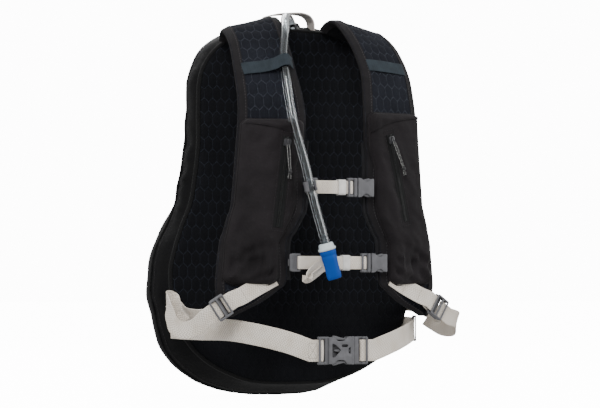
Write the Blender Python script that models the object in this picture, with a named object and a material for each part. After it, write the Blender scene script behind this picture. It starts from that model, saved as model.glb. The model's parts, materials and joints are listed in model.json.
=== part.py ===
"""Hydration pack at rest, in metres, +Z up.

The origin is on the flat face of the back panel, which faces -Y, toward the harness.
+X is the wearer's left.  Heights in the tables are measured from a level 215 mm below the
origin, 10 mm under the back panel's lower edge.
"""

import math

import bmesh
import bpy
from mathutils import Vector

MM = 0.001
BASE = 0.215  # height of the origin above the tables' zero

# bag
PANEL_THICK = 0.008
BAG_DEPTH = 0.150
BAG_WALL = 0.002
BAG_CENTRE = 0.190
HALF_WIDTHS = [
    (0.010, 0.040),
    (0.020, 0.080),
    (0.038, 0.114),
    (0.064, 0.138),
    (0.103, 0.152),
    (0.138, 0.156),
    (0.165, 0.151),
    (0.195, 0.141),
    (0.220, 0.131),
    (0.247, 0.126),
    (0.289, 0.121),
    (0.329, 0.121),
    (0.368, 0.119),
    (0.390, 0.110),
    (0.405, 0.097),
    (0.416, 0.080),
    (0.424, 0.056),
    (0.428, 0.028),
]
# the bag's skin: depth, share of the width low down and high up, share of the height below
# and above the middle, and sideways sag of the bottom
SKIN = [
    (0.0085, 1.000, 1.00, 1.000, 1.000, 0.000),
    (0.0300, 1.030, 1.03, 1.050, 1.035, 0.006),
    (0.0550, 1.045, 0.98, 1.083, 1.030, 0.010),
    (0.0850, 1.000, 0.87, 1.060, 0.970, 0.010),
    (0.1170, 0.900, 0.75, 0.950, 0.895, 0.008),
    (0.1380, 0.760, 0.62, 0.800, 0.790, 0.004),
    (0.1500, 0.600, 0.47, 0.620, 0.640, 0.000),
]

# harness
STRAP_X = 0.080
STRAP_Y = -0.101
STRAP_TURN = math.radians(13)
STRAP_THICK = 0.009
# the arch over the shoulder: x, y, height, turn, outward lean, inner edge, outer edge
STRAP_ARCH = [
    (0.0660, -0.0040, 0.4225, 0, 17, -0.034, 0.035),
    (0.0672, -0.0125, 0.4275, 0, 17, -0.034, 0.036),
    (0.0690, -0.0225, 0.4300, 0, 16, -0.034, 0.036),
    (0.0718, -0.0370, 0.4260, 3, 13, -0.035, 0.035),
    (0.0750, -0.0580, 0.4100, 6, 9, -0.035, 0.034),
    (0.0775, -0.0735, 0.3920, 9, 6, -0.036, 0.034),
    (0.0790, -0.0818, 0.3790, 11, 4, -0.037, 0.034),
    (0.0798, -0.0885, 0.3660, 12, 2, -0.038, 0.034),
    (0.0800, -0.0965, 0.3430, 13, 0, -0.041, 0.034),
]
# the flat run on the chest: height, inner edge, outer edge
STRAP_FLAT = [
    (0.318, -0.0430, 0.0350),
    (0.290, -0.0420, 0.0370),
    (0.270, -0.0405, 0.0385),
    (0.217, -0.0405, 0.0430),
    (0.202, -0.0360, 0.0475),
    (0.186, -0.0275, 0.0520),
    (0.172, -0.0205, 0.0565),
    (0.130, -0.0205, 0.0610),
    (0.118, -0.0100, 0.0605),
    (0.105, 0.0080, 0.0590),
    (0.094, 0.0300, 0.0560),
    (0.088, 0.0420, 0.0520),
]
LOOP_RING = 6
RAIL_R = 0.0015
RAIL_OUT = 0.0042
POCKET_TOP = 0.312
POCKET_BOTTOM = 0.124
POCKET_DEPTH = 0.0090

# webbing
WEB = 0.0013
STERNUM_WEB = 0.015
SHOULDER_WEB = 0.020
WAIST_WEB = 0.025
UPPER_H = 0.237
LOWER_H = 0.150
LIFT = 2.3  # of the webbing off the middle of a buckle's bar, in mm
WAIST_H = 0.049
WAIST_Y = -0.122
WAIST_MOUTH = 0.0170
LOCK_AT = (0.141, -0.100, 0.097)

# drink tube
TUBE_R = 0.005
STUB = 0.014  # straight length at each end of a tube

COLOURS = {
    "hex_fabric": ((0.012, 0.014, 0.020), 0.85, 0.0),
    "black_fabric": ((0.010, 0.010, 0.012), 0.80, 0.0),
    "pocket_fabric": ((0.032, 0.026, 0.028), 0.85, 0.0),
    "elastic": ((0.042, 0.058, 0.072), 0.80, 0.0),
    "webbing": ((0.560, 0.525, 0.480), 0.85, 0.0),
    "loop_webbing": ((0.340, 0.325, 0.305), 0.85, 0.0),
    "white_elastic": ((0.720, 0.710, 0.690), 0.80, 0.0),
    "grey_plastic": ((0.125, 0.125, 0.130), 0.45, 0.0),
    "black_plastic": ((0.018, 0.018, 0.020), 0.45, 0.0),
    "rail_cord": ((0.020, 0.020, 0.022), 0.70, 0.0),
    "zipper": ((0.020, 0.022, 0.021), 0.60, 0.0),
    "zip_metal": ((0.320, 0.320, 0.330), 0.35, 0.9),
    "pull_cord": ((0.060, 0.060, 0.065), 0.80, 0.0),
    "clear_tube": ((0.640, 0.680, 0.700), 0.15, 0.0),
    "collar": ((0.560, 0.640, 0.660), 0.30, 0.0),
    "valve_blue": ((0.000, 0.165, 0.560), 0.35, 0.0),
    "bladder": ((0.420, 0.560, 0.640), 0.25, 0.0),
    "cap_blue": ((0.020, 0.120, 0.350), 0.40, 0.0),
}
X = Vector((1, 0, 0))
Y = Vector((0, 1, 0))
Z = Vector((0, 0, 1))


def at(x, y, height):
    """A point given by its height above the bottom of the bag."""
    return Vector((x, y, height - BASE))


def between(table, height, column=1):
    """The value of a table's column at a height, by straight lines."""
    rows = sorted(table)
    for low, high in zip(rows, rows[1:]):
        if low[0] <= height <= high[0]:
            share = (height - low[0]) / (high[0] - low[0])
            return low[column] + share * (high[column] - low[column])
    return rows[0][column] if height < rows[0][0] else rows[-1][column]


def smooth(points, per=3):
    """A smooth curve through the points."""
    ends = [2 * points[0] - points[1]] + list(points) + [2 * points[-1] - points[-2]]
    out = []
    for a, b, c, d in zip(ends, ends[1:], ends[2:], ends[3:]):
        for i in range(per):
            t = i / per
            out.append(
                0.5
                * (
                    2 * b
                    + (c - a) * t
                    + (2 * a - 5 * b + 4 * c - d) * t * t
                    + (3 * b - 3 * c + d - a) * t**3
                )
            )
    return out + [points[-1].copy()]


def tangents(path):
    out = []
    for i in range(len(path)):
        ahead = path[min(i + 1, len(path) - 1)]
        behind = path[max(i - 1, 0)]
        out.append((ahead - behind).normalized())
    return out


def material(name):
    found = bpy.data.materials.get(name)
    if found:
        return found
    colour, rough, metal = COLOURS[name]
    made = bpy.data.materials.new(name)
    made.use_nodes = True
    shader = made.node_tree.nodes["Principled BSDF"]
    shader.inputs["Base Color"].default_value = (*colour, 1)
    shader.inputs["Roughness"].default_value = rough
    shader.inputs["Metallic"].default_value = metal
    made.diffuse_color = (*colour, 1)
    return made


def add(name, bm, look, pivot=None, bevel=0.0):
    """Turns the mesh into an object whose origin is its pivot."""
    bmesh.ops.recalc_face_normals(bm, faces=bm.faces)
    pivot = pivot if pivot else Vector((0, 0, 0))
    bmesh.ops.translate(bm, verts=bm.verts, vec=-pivot)
    mesh = bpy.data.meshes.new(name)
    bm.to_mesh(mesh)
    bm.free()
    obj = bpy.data.objects.new(name, mesh)
    obj.location = pivot
    base = material(look)
    own = base.copy()
    own.name = f"{name}_{look}"
    mesh.materials.append(own)
    bpy.context.scene.collection.objects.link(obj)
    if bevel:
        edges = obj.modifiers.new("edges", "BEVEL")
        edges.width = bevel
        edges.segments = 1
        edges.limit_method = "ANGLE"
        edges.angle_limit = math.radians(40)
    return obj


def loft(name, rings, look, pivot=None, loop=False, bevel=0.0):
    """Joins rings of equal length, and closes both ends unless they form a loop."""
    bm = bmesh.new()
    rows = [[bm.verts.new(p) for p in ring] for ring in rings]
    pairs = list(zip(rows, rows[1:]))
    if loop:
        pairs.append((rows[-1], rows[0]))
    for low, high in pairs:
        for i in range(len(low)):
            j = (i + 1) % len(low)
            bm.faces.new((low[i], low[j], high[j], high[i]))
    if not loop:
        bm.faces.new(rows[0])
        bm.faces.new(rows[-1])
    return add(name, bm, look, pivot, bevel)


def strip_ring(centre, across, normal, low, high, thick, corner):
    """A flat section with cut corners, from low to high across."""
    t = thick / 2
    flat = [
        (low + corner, -t),
        (high - corner, -t),
        (high, -t + corner * 0.8),
        (high, t - corner * 0.8),
        (high - corner, t),
        (low + corner, t),
        (low, t - corner * 0.8),
        (low, -t + corner * 0.8),
    ]
    return [centre + across * a + normal * n for a, n in flat]


def ribbon(name, path, across, width, thick, look, pivot=None, corner=None):
    """A strip along the path.  across is one direction, or one for each point."""
    ways = across if isinstance(across, list) else [across] * len(path)
    corner = thick * 0.3 if corner is None else corner
    rings = []
    for centre, along, way in zip(path, tangents(path), ways):
        side = (way - along * way.dot(along)).normalized()
        normal = along.cross(side).normalized()
        ring = strip_ring(centre, side, normal, -width / 2, width / 2, thick, corner)
        rings.append(ring)
    return loft(name, rings, look, pivot)


def circle(centre, along, radius, sides, start=X, flat=1.0):
    side = (start - along * start.dot(along)).normalized()
    other = along.cross(side).normalized()
    return [
        centre
        + side * (radius * math.cos(2 * math.pi * i / sides))
        + other * (radius * flat * math.sin(2 * math.pi * i / sides))
        for i in range(sides)
    ]


def spaced(path, step):
    """Points at about equal steps along a smooth path, with both of its ends."""
    runs = [(b - a).length for a, b in zip(path, path[1:])]
    count = max(2, round(sum(runs) / step))
    out = [path[0]]
    gone = 0.0
    for here, ahead, run in zip(path, path[1:], runs):
        while len(out) < count and gone + run >= sum(runs) * len(out) / count:
            share = (sum(runs) * len(out) / count - gone) / run
            out.append(here.lerp(ahead, share))
        gone += run
    return out + [path[-1]]


def tube(name, route, ends, pivot=None):
    """A round tube along a route.  ends holds the directions at its two ends."""
    first = route[0] + ends[0] * STUB
    last = route[-1] - ends[1] * STUB
    middle = spaced(smooth([first] + route[1:-1] + [last], 6), 4 * TUBE_R)
    points = [route[0]] + middle + [route[-1]]
    pivot = pivot if pivot else Vector((0, 0, 0))
    curve = bpy.data.curves.new(name, "CURVE")
    curve.dimensions = "3D"
    curve.resolution_u = 1
    curve.render_resolution_u = 0
    curve.bevel_depth = TUBE_R
    curve.bevel_resolution = 3
    curve.use_fill_caps = True
    spline = curve.splines.new("POLY")
    spline.points.add(len(points) - 1)
    for spot, point in zip(spline.points, points):
        spot.co = (*(point - pivot), 1)
    obj = bpy.data.objects.new(name, curve)
    obj.location = pivot
    own = material("clear_tube").copy()
    own.name = f"{name}_clear_tube"
    curve.materials.append(own)
    bpy.context.scene.collection.objects.link(obj)


def turned(name, centre, axis, profile, look, pivot=None, sides=20, start=X):
    """A body of revolution: profile is (distance along the axis, radius[, flatness])."""
    rings = []
    for row in profile:
        flat = row[2] if len(row) > 2 else 1.0
        rings.append(circle(centre + axis * row[0], axis, row[1], sides, start, flat))
    return loft(name, rings, look, pivot)


def prism(name, outline, frame, low, high, look, pivot=None, bevel=0.0):
    """An outline in the frame's first two directions, drawn out along the third."""
    origin, u, v, w = frame
    rings = [
        [origin + u * a + v * b + w * depth for a, b in outline] for depth in (low, high)
    ]
    return loft(name, rings, look, pivot, bevel=bevel)


def cells(name, cuts, filled, frame, look, pivot=None, bevel=0.0):
    """The filled boxes of a grid, as one body.  cuts holds three sorted lists."""
    origin, u, v, w = frame
    us, vs, ws = cuts
    middles = [[(a + b) / 2 for a, b in zip(row, row[1:])] for row in cuts]
    full = set()
    for i, a in enumerate(middles[0]):
        for j, b in enumerate(middles[1]):
            for k, c in enumerate(middles[2]):
                if filled(a, b, c):
                    full.add((i, j, k))
    bm = bmesh.new()
    made = {}

    def corner(i, j, k):
        if (i, j, k) not in made:
            made[i, j, k] = bm.verts.new(origin + u * us[i] + v * vs[j] + w * ws[k])
        return made[i, j, k]

    sides = (
        ((1, 0, 0), ((1, 0, 0), (1, 1, 0), (1, 1, 1), (1, 0, 1))),
        ((-1, 0, 0), ((0, 0, 0), (0, 0, 1), (0, 1, 1), (0, 1, 0))),
        ((0, 1, 0), ((0, 1, 0), (0, 1, 1), (1, 1, 1), (1, 1, 0))),
        ((0, -1, 0), ((0, 0, 0), (1, 0, 0), (1, 0, 1), (0, 0, 1))),
        ((0, 0, 1), ((0, 0, 1), (1, 0, 1), (1, 1, 1), (0, 1, 1))),
        ((0, 0, -1), ((0, 0, 0), (0, 1, 0), (1, 1, 0), (1, 0, 0))),
    )
    for i, j, k in sorted(full):
        for (di, dj, dk), quad in sides:
            if (i + di, j + dj, k + dk) not in full:
                bm.faces.new([corner(i + a, j + b, k + c) for a, b, c in quad])
    return add(name, bm, look, pivot, bevel)


# ---------------------------------------------------------------- bag


def bag_outline(scale, y, inset=0.0):
    """The bag's outline at one depth, shrunk toward its middle."""
    heights = [h for h, _ in HALF_WIDTHS]
    right = [(w, h) for h, w in HALF_WIDTHS]
    left = [(-w, h) for h, w in reversed(HALF_WIDTHS)]
    out = []
    for x, h in right + left:
        h_in = min(max(h, heights[0] + inset), heights[-1] - inset)
        x_in = math.copysign(max(abs(x) - inset, 0.004), x)
        out.append(at(x_in * scale, y, BAG_CENTRE + (h_in - BAG_CENTRE) * scale))
    return out


def skin_outline(row, shift=0.0, inset=0.0):
    """One level of the bag's skin, or of its inner face, which is inset."""
    y, wide_low, wide_high, tall_low, tall_high, sag = row
    heights = [h for h, _ in HALF_WIDTHS]
    right = [(w, h) for h, w in HALF_WIDTHS]
    left = [(-w, h) for h, w in reversed(HALF_WIDTHS)]
    out = []
    for x, h in right + left:
        share = min(max((h - 0.15) / 0.15, 0), 1)
        share = share * share * (3 - 2 * share)
        wide = wide_low + (wide_high - wide_low) * share
        tall = tall_low if h < BAG_CENTRE else tall_high
        low = min(max(h / 0.12, 0), 1)
        aside = sag * (1 - low * low * (3 - 2 * low))
        h_in = min(max(h, heights[0] + inset), heights[-1] - inset)
        x_in = math.copysign(max(abs(x) - inset, 0.004), x)
        out.append(at(x_in * wide - aside, y + shift, BAG_CENTRE + (h_in - BAG_CENTRE) * tall))
    return out


def build_bag():
    rings = [
        bag_outline(0.985, 0.0, 0.003),
        bag_outline(1.0, 0.003, 0.001),
        bag_outline(1.0, PANEL_THICK, 0.001),
    ]
    loft("back_panel", rings, "hex_fabric")

    wall = BAG_WALL
    inner = [skin_outline(SKIN[-1], -wall, wall)]
    inner += [skin_outline(row, -wall * 0.6, wall) for row in SKIN[-2:0:-1]]
    inner += [skin_outline(SKIN[0], 0.0, wall)]
    outer = [skin_outline(row) for row in SKIN]
    shell = loft("bag_shell", inner + outer, "black_fabric")

    hole = turned(
        "port_hole",
        PORT_AT,
        PORT_WAY,
        [(-0.004, 0.0086), (0.022, 0.0086)],
        "black_plastic",
    )
    hole.hide_render = True
    hole.display_type = "WIRE"
    cut = shell.modifiers.new("port", "BOOLEAN")
    cut.operation = "DIFFERENCE"
    cut.solver = "EXACT"
    cut.object = hole

    ring = [
        (0.0104, 0.0080),
        (0.0122, 0.0079),
        (0.0138, 0.0069),
        (0.0138, 0.0056),
        (0.0104, 0.0056),
    ]
    rings = [circle(PORT_AT + PORT_WAY * t, PORT_WAY, r, 20) for t, r in ring]
    loft("hose_port", rings, "black_plastic", loop=True)


PORT_WAY = Vector((-0.451, -0.752, 0.481)).normalized()
PORT_AT = at(0.0107, 0.0259, 0.4289)


def build_haul_loop():
    y = 0.020
    points = [
        at(-0.0312, y, 0.4400),
        at(-0.0305, y, 0.4430),
        at(-0.0265, y, 0.4470),
        at(-0.0120, y, 0.4505),
        at(0.0120, y, 0.4520),
        at(0.0240, y, 0.4500),
        at(0.0295, y, 0.4450),
        at(0.0312, y, 0.4400),
    ]
    pivot = at(0, y + SHOULDER_WEB / 2, 0.4400)
    ribbon("haul_loop", smooth(points), Y, SHOULDER_WEB, 0.0018, "loop_webbing", pivot)


def build_main_zipper():
    y = BAG_DEPTH + 0.0003
    tape = [(-13, 0), (13, 0), (13, 0.8), (2.6, 0.8), (2.2, 2.2), (-2.2, 2.2), (-2.6, 0.8), (-13, 0.8)]
    tape = [(a * MM, b * MM) for a, b in tape]
    frame = (at(0, y, 0.205), X, Y, Z)
    prism("main_zipper", tape, frame, -0.105, 0.105, "zipper")
    us = [v * MM for v in (-6, -5, -3.1, 3.1, 5, 6)]
    vs = [v * MM for v in (1.2, 2.6, 4.4)]
    ws = [v * MM for v in (-7, -5, 5, 7)]

    def filled(a, b, c):
        wide = 0.006 if abs(c) < 0.005 else 0.005
        return abs(a) < wide and not (abs(a) < 0.0031 and b < 0.0026)

    top = (at(0, y, 0.296), X, Y, Z)
    slider = top[0] + Y * 0.003
    cells("main_zip_slider", (us, vs, ws), filled, top, "zip_metal", slider, 0.0005)
    hang = top[0] + Y * 0.0062 + Z * 0.004
    outline = [(-3.2, 1.2), (3.2, 1.2), (4.4, -28), (2.6, -31), (-2.6, -31), (-4.4, -28)]
    outline = [(a * MM, b * MM) for a, b in outline]
    prism("main_zip_pull", outline, (hang, X, Z, Y), -0.0008, 0.0008, "zip_metal", hang)


# ---------------------------------------------------------------- water


def oval(half_x, half_y, centre_x, centre_y, height, power=2.6, sides=16):
    out = []
    for i in range(sides):
        turn = 2 * math.pi * i / sides
        c, s = math.cos(turn), math.sin(turn)
        x = math.copysign(abs(c) ** (2 / power), c) * half_x
        y = math.copysign(abs(s) ** (2 / power), s) * half_y
        out.append(at(centre_x + x, centre_y + y, height))
    return out


def build_reservoir():
    outside = [
        (0.046, 0.054, 0.008, 3.0),
        (0.062, 0.080, 0.020, 3.0),
        (0.150, 0.086, 0.023, 3.0),
        (0.285, 0.080, 0.021, 3.0),
        (0.324, 0.0300, 0.0205, 2.0),
        (0.330, 0.0200, 0.0200, 2.0),
        (0.348, 0.0200, 0.0200, 2.0),
    ]
    wall = 0.0012
    y = 0.040
    inner = [
        oval(hx - wall, hy - wall, 0, y, h + (wall if i == 0 else 0), p)
        for i, (h, hx, hy, p) in enumerate(outside)
    ]
    outer = [oval(hx, hy, 0, y, h, p) for h, hx, hy, p in reversed(outside)]
    loft("water_reservoir", inner + outer, "bladder")

    inside, outside_r = 0.0205, 0.0250
    rows = [
        (0.3505, 0.0040),
        (0.3505, inside),
        (0.3370, inside),
        (0.3370, outside_r),
        (0.3540, outside_r),
        (0.3555, 0.0235),
    ]
    rings = [circle(at(0, y, h), Z, r, 24) for h, r in rows]
    loft("reservoir_cap", rings, "cap_blue", at(0, y, 0.345))

    turned(
        "reservoir_outlet",
        at(0.042, y, 0.030),
        Z,
        [(0, 0.0060), (0.002, 0.0080), (0.012, 0.0080), (0.0155, 0.0050)],
        "black_plastic",
    )
    path = [
        at(0.0505, 0.040, 0.0360),
        at(0.066, 0.0405, 0.0365),
        at(0.088, 0.042, 0.0460),
        at(0.103, 0.045, 0.0720),
        at(0.108, 0.048, 0.1100),
        at(0.106, 0.050, 0.1800),
        at(0.104, 0.050, 0.2500),
        at(0.099, 0.048, 0.3000),
        at(0.086, 0.050, 0.3450),
        at(0.063, 0.052, 0.3800),
        at(0.036, 0.0480, 0.4050),
        PORT_AT - PORT_WAY * 0.0002,
    ]
    tube("inner_tube", path, (X, PORT_WAY))


# ---------------------------------------------------------------- straps


def on_pad(side, a, height, n):
    """A point of the flat chest run: a across, outward positive, and n off the pad's middle."""
    c, s = math.cos(STRAP_TURN), math.sin(STRAP_TURN)
    x = STRAP_X + c * a + s * n
    y = STRAP_Y + s * a - c * n
    return at(side * x, y, height)


def pad_frames(side):
    """Centre, across, outward normal and edges of every section, from the bag down."""
    rows = []
    for x, y, h, turn, lean, lo, hi in STRAP_ARCH:
        rows.append((at(x, y, h), math.radians(turn), math.radians(lean), lo, hi))
    for h, lo, hi in STRAP_FLAT:
        rows.append((on_pad(1, 0, h, 0), STRAP_TURN, 0.0, lo, hi))
    ways = tangents([row[0] for row in rows])
    flip = Vector((side, 1, 1))
    out = []
    for i, ((centre, turn, lean, lo, hi), along) in enumerate(zip(rows, ways)):
        if i >= len(STRAP_ARCH):
            along = -Z
        level = math.cos(lean)
        across = Vector((math.cos(turn) * level, math.sin(turn) * level, -math.sin(lean)))
        across = (across - along * across.dot(along)).normalized()
        normal = along.cross(across).normalized()
        out.append((centre * flip, across * flip, normal * flip, lo, hi, along * flip))
    return out


def build_strap(side, name):
    frames = pad_frames(side)
    rings = [
        strip_ring(c, a, n, lo, hi, STRAP_THICK, 0.003) for c, a, n, lo, hi, _ in frames
    ]
    loft(f"{name}_shoulder_strap", rings, "hex_fabric")
    build_elastic_loop(side, name, frames[LOOP_RING])
    build_rail(side, name)
    build_pocket(side, name)
    build_pocket_zipper(side, name)


def build_elastic_loop(side, name, frame):
    """A band right round the strap; on the tube's side it stands off to let the tube through."""
    centre, across, normal, lo, hi, along = frame
    gap = 0.0011
    back = -STRAP_THICK / 2 - gap
    front = STRAP_THICK / 2 + gap
    lo -= gap
    hi += gap
    if side < 0:
        bridge = [(-0.034, front + 0.002), (-0.029, front + 0.0092), (-0.0235, front + 0.0112)]
        bridge += [(-0.018, front + 0.0092), (-0.012, front + 0.002)]
    else:
        bridge = [(-0.030, front + 0.0005), (-0.020, front + 0.001), (-0.0100, front + 0.0015)]
        bridge += [(0.000, front + 0.001), (0.010, front + 0.0005)]
    shape = [(lo, back + 0.002), (lo, front - 0.002)] + bridge
    shape += [(hi - 0.002, front), (hi, front - 0.002), (hi, back + 0.002), (hi - 0.002, back)]
    shape += [(lo + 0.002, back)]
    middle_a = (lo + hi) / 2
    outer = []
    for a, n in shape:
        push_a = 0.0012 if a > hi - 0.001 else (-0.0012 if a < lo + 0.001 else 0)
        push_n = 0.0012 if n > 0.004 else (-0.0012 if n < back + 0.001 else 0)
        outer.append((a + push_a, n + push_n))

    def ring(points, t):
        return [centre + across * a + normal * n + along * t for a, n in points]

    half = 0.0070
    rings = [ring(outer, -half), ring(outer, half), ring(shape, half), ring(shape, -half)]
    loft(f"{name}_elastic_loop", rings, "elastic", loop=True)


def rail_line(side):
    rows = [row for row in STRAP_FLAT if 0.125 <= row[0] <= 0.300]
    return [on_pad(side, lo - RAIL_OUT, h, 0) for h, lo, _ in rows]


def build_rail(side, name):
    """A round cord on a short flange, along the strap's inner edge."""
    c, s = math.cos(STRAP_TURN), math.sin(STRAP_TURN)
    across = Vector((side * c, s, 0))
    normal = Vector((side * s, -c, 0))
    shape = [(3.9, 0.35), (1.4, 0.35), (1.0, 1.1), (0, 1.5), (-1.0, 1.1), (-1.5, 0)]
    shape += [(-1.0, -1.1), (0, -1.5), (1.0, -1.1), (1.4, -0.35), (3.9, -0.35)]
    rings = []
    for centre in rail_line(side):
        rings.append([centre + across * a * MM + normal * n * MM for a, n in shape])
    loft(f"{name}_sternum_rail", rings, "rail_cord")


def pocket_outline():
    """Across and height of the pocket's rim, round once."""
    heights = [0.134, 0.150, 0.175, 0.200, 0.225, 0.250, 0.275, 0.296]
    inner = [(between(STRAP_FLAT, h, 1) + 0.0095, h) for h in heights]
    outer = [(between(STRAP_FLAT, h, 2) - 0.0060, h) for h in heights]
    low_in, low_out = inner[0], outer[0]
    bottom = [(low_out[0] - 0.010, POCKET_BOTTOM), (low_in[0] + 0.012, POCKET_BOTTOM)]
    top = [(inner[-1][0] + 0.010, POCKET_TOP), (outer[-1][0] - 0.010, POCKET_TOP)]
    return inner + top + outer[::-1] + bottom


def build_pocket(side, name):
    rim = STRAP_THICK / 2 + 0.0004
    outline = pocket_outline()
    spine = STRAP_FLAT[:9]

    def ring(inset, n):
        out = []
        for a, h in outline:
            middle = (between(spine, h, 1) + between(spine, h, 2)) / 2 + 0.002
            a_in = a + math.copysign(min(inset, abs(middle - a) * 0.8), middle - a)
            h_in = min(max(h, POCKET_BOTTOM + inset), POCKET_TOP - inset)
            out.append(on_pad(side, a_in, h_in, n))
        return out

    top = rim + POCKET_DEPTH
    rings = [
        ring(0.0085, top - 0.0014),
        ring(0.0045, rim + 0.0044),
        ring(0.0018, rim),
        ring(0.0, rim),
        ring(0.0022, rim + 0.0052),
        ring(0.0070, top),
    ]
    loft(f"{name}_strap_pocket", rings, "pocket_fabric")


ZIP_ENDS = {
    "right": ((-0.0200, 0.2940), (-0.0080, 0.1900)),
    "left": ((-0.0160, 0.3000), (0.0080, 0.1980)),
}


def build_pocket_zipper(side, name):
    face = STRAP_THICK / 2 + 0.0004 + POCKET_DEPTH + 0.0003
    (a0, h0), (a1, h1) = ZIP_ENDS[name]
    top = on_pad(side, a0, h0, face)
    end = on_pad(side, a1, h1, face)
    down = (end - top).normalized()
    normal = Vector((side * math.sin(STRAP_TURN), -math.cos(STRAP_TURN), 0))
    across = normal.cross(down).normalized()
    length = (end - top).length
    tape = [(-5.5, 0), (5.5, 0), (5.5, 0.6), (1.9, 0.6), (1.5, 1.6), (-1.5, 1.6), (-1.9, 0.6), (-5.5, 0.6)]
    tape = [(a * MM, b * MM) for a, b in tape]
    prism(f"{name}_pocket_zipper", tape, (top, across, normal, down), 0, length, "zipper")

    us = [v * MM for v in (-4.2, -2.2, 2.2, 4.2)]
    vs = [v * MM for v in (0.9, 1.9, 3.3)]
    ws = [v * MM for v in (-4.5, 4.5)]

    def filled(a, b, _):
        return abs(a) > 0.0022 or b > 0.0019

    start = top + down * 0.007
    frame = (start, across, normal, down)
    middle = start + normal * 0.0026
    look = "zip_metal"
    cells(f"{name}_zip_slider", (us, vs, ws), filled, frame, look, middle, 0.0005)

    hang = start + normal * 0.0049 + down * 0.002
    legs = [(-1.4, 24), (-2.0, 6), (-0.9, 0), (0.9, 0), (2.0, 6), (1.4, 24)]
    path = [hang + across * a * MM + down * t * MM for a, t in legs]
    rings = []
    path = smooth(path, 3)
    for centre, along in zip(path, tangents(path)):
        rings.append(circle(centre, along, 0.0009, 6, normal))
    loft(f"{name}_zip_cord", rings, "pull_cord", hang)


# ---------------------------------------------------------------- webbing and buckles


def lay(frame, points):
    """Points given as distances along the frame's first and third directions."""
    origin, u, _, w = frame
    return [origin + u * a * MM + w * c * MM for a, c in points]


def hairpin(bar, back, reach=2.5, lift=LIFT):
    """Round a bar at u = bar, open toward back (+1 or -1), from the rear to the front."""
    r = reach
    rows = [(0.6, -lift), (-0.9, -lift * 0.93), (-r * 0.88, -lift * 0.55), (-r, 0)]
    rows += [(-r * 0.88, lift * 0.55), (-0.9, lift * 0.93), (0.6, lift)]
    return [(bar + back * a, c) for a, c in rows]


def release_buckle(name, frame, web, k, hook=None, grow=1.0):
    """A side-release buckle.  The mouth is at the frame's origin and the prongs pull out along +u."""
    origin, u, v, w = frame
    half = web / MM / 2 + 3.5
    slot = web / MM / 2 + 0.6
    back = -(15 * k + 1.5) if hook is not None else -(15 * k + 1.5 + 9.5)
    us = [back, -15 * k, -4 * k, 0]
    if hook is None:
        us += [back + 2.4, back + 5.4, -11.5 * k, -6.5 * k]
    else:
        us += [hook - 3.3, hook - 2.1, hook + 2.1, hook + 3.4]
    vs = [-half, -(half - 1.6), -slot, -4.0, 4.0, slot, half - 1.6, half]
    ws = [-4.0, -2.6, -1.2, 1.2, 2.6, 4.0]
    if hook is not None:
        ws += [-4.6, -5.7, -6.35, -9.25, -9.9, -11.0]
    us, vs, ws = (sorted({round(x, 4) for x in row}) for row in (us, vs, ws))

    def female(a, b, c):
        a, b, c = a / MM, b / MM, c / MM
        if c < -4.0:
            if hook is None or abs(b) > 4.0 or not -3.3 < a - hook < 3.4:
                return False
            deep = abs(c + 7.8)
            return not (deep < 2.1 and abs(a - hook) < 2.1 or deep < 1.45 and a < hook)
        if a > -15 * k:
            if abs(b) < half - 1.6 and abs(c) < 2.6:
                return False
            if abs(b) > half - 1.6 and abs(c) < 2.6 and a < -4 * k:
                return False
            if hook is None and abs(b) < 4.0 and -11.5 * k < a < -6.5 * k:
                return False
            return True
        if hook is None:
            if back + 2.4 < a < back + 5.4 and abs(b) < slot:
                return False
            if a < back + 2.4 and abs(b) < slot:
                return abs(c) < 1.2
        return True

    cuts = [[x * MM for x in row] for row in (us, vs, ws)]
    cells(f"{name}_buckle_female", cuts, female, frame, "grey_plastic", None, 0.0004)

    front = 2.8
    mid, bar_in, bar_out = front + 2.2 * grow, front + 4.9 + 4.2 * (grow - 1), front + 6.9 + 4.2 * (grow - 1)
    us = [-12 * k, front, mid, bar_in, bar_out]
    vs = [-half, -slot, -1.6, 1.6, slot, half]
    ws = [-3.6, -1.8, -1.2, 1.2, 1.8, 3.6]

    def male(a, b, c):
        a, b, c = a / MM, b / MM, c / MM
        if a < front:
            return abs(b) < 1.6 and abs(c) < 1.8
        if a > bar_in and abs(b) < slot:
            return abs(c) < 1.2
        if mid < a < bar_in and abs(b) < slot:
            return False
        return True

    cuts = [[x * MM for x in row] for row in (us, vs, ws)]
    cells(f"{name}_buckle_male", cuts, male, frame, "grey_plastic", origin, 0.0004)

    hinge_u = 1.3
    hinge_v = half - 1.9 - 1.1
    shape = [(0, 1.1), (6, 1.1), (8, 1.42), (10, 1.9), (12, 2.5), (12.9, 2.55), (13.6, 1.7)]
    shape += [(13.6, 0.2), (12.4, -0.7), (6, -1.0), (0, -1.1), (-0.8, -0.8), (-1.1, 0), (-0.8, 0.8)]
    for label, sign in (("upper", 1), ("lower", -1)):
        pivot = origin + u * hinge_u * MM + v * sign * hinge_v * MM
        outline = []
        for d, e in shape:
            grow = k if d > 0 else 1
            rise = (e - 1.1) * k + 1.1 if e > 1.1 else e
            outline.append((-d * grow * MM, rise * sign * MM))
        arm = (pivot, u, v, w)
        depth = 2.2 * MM
        full = f"{name}_latch_{label}"
        prism(full, outline, arm, -depth, depth, "grey_plastic", pivot, 0.0003)
    return bar_in + 1.0, (back + 1.2) if hook is None else None


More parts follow.
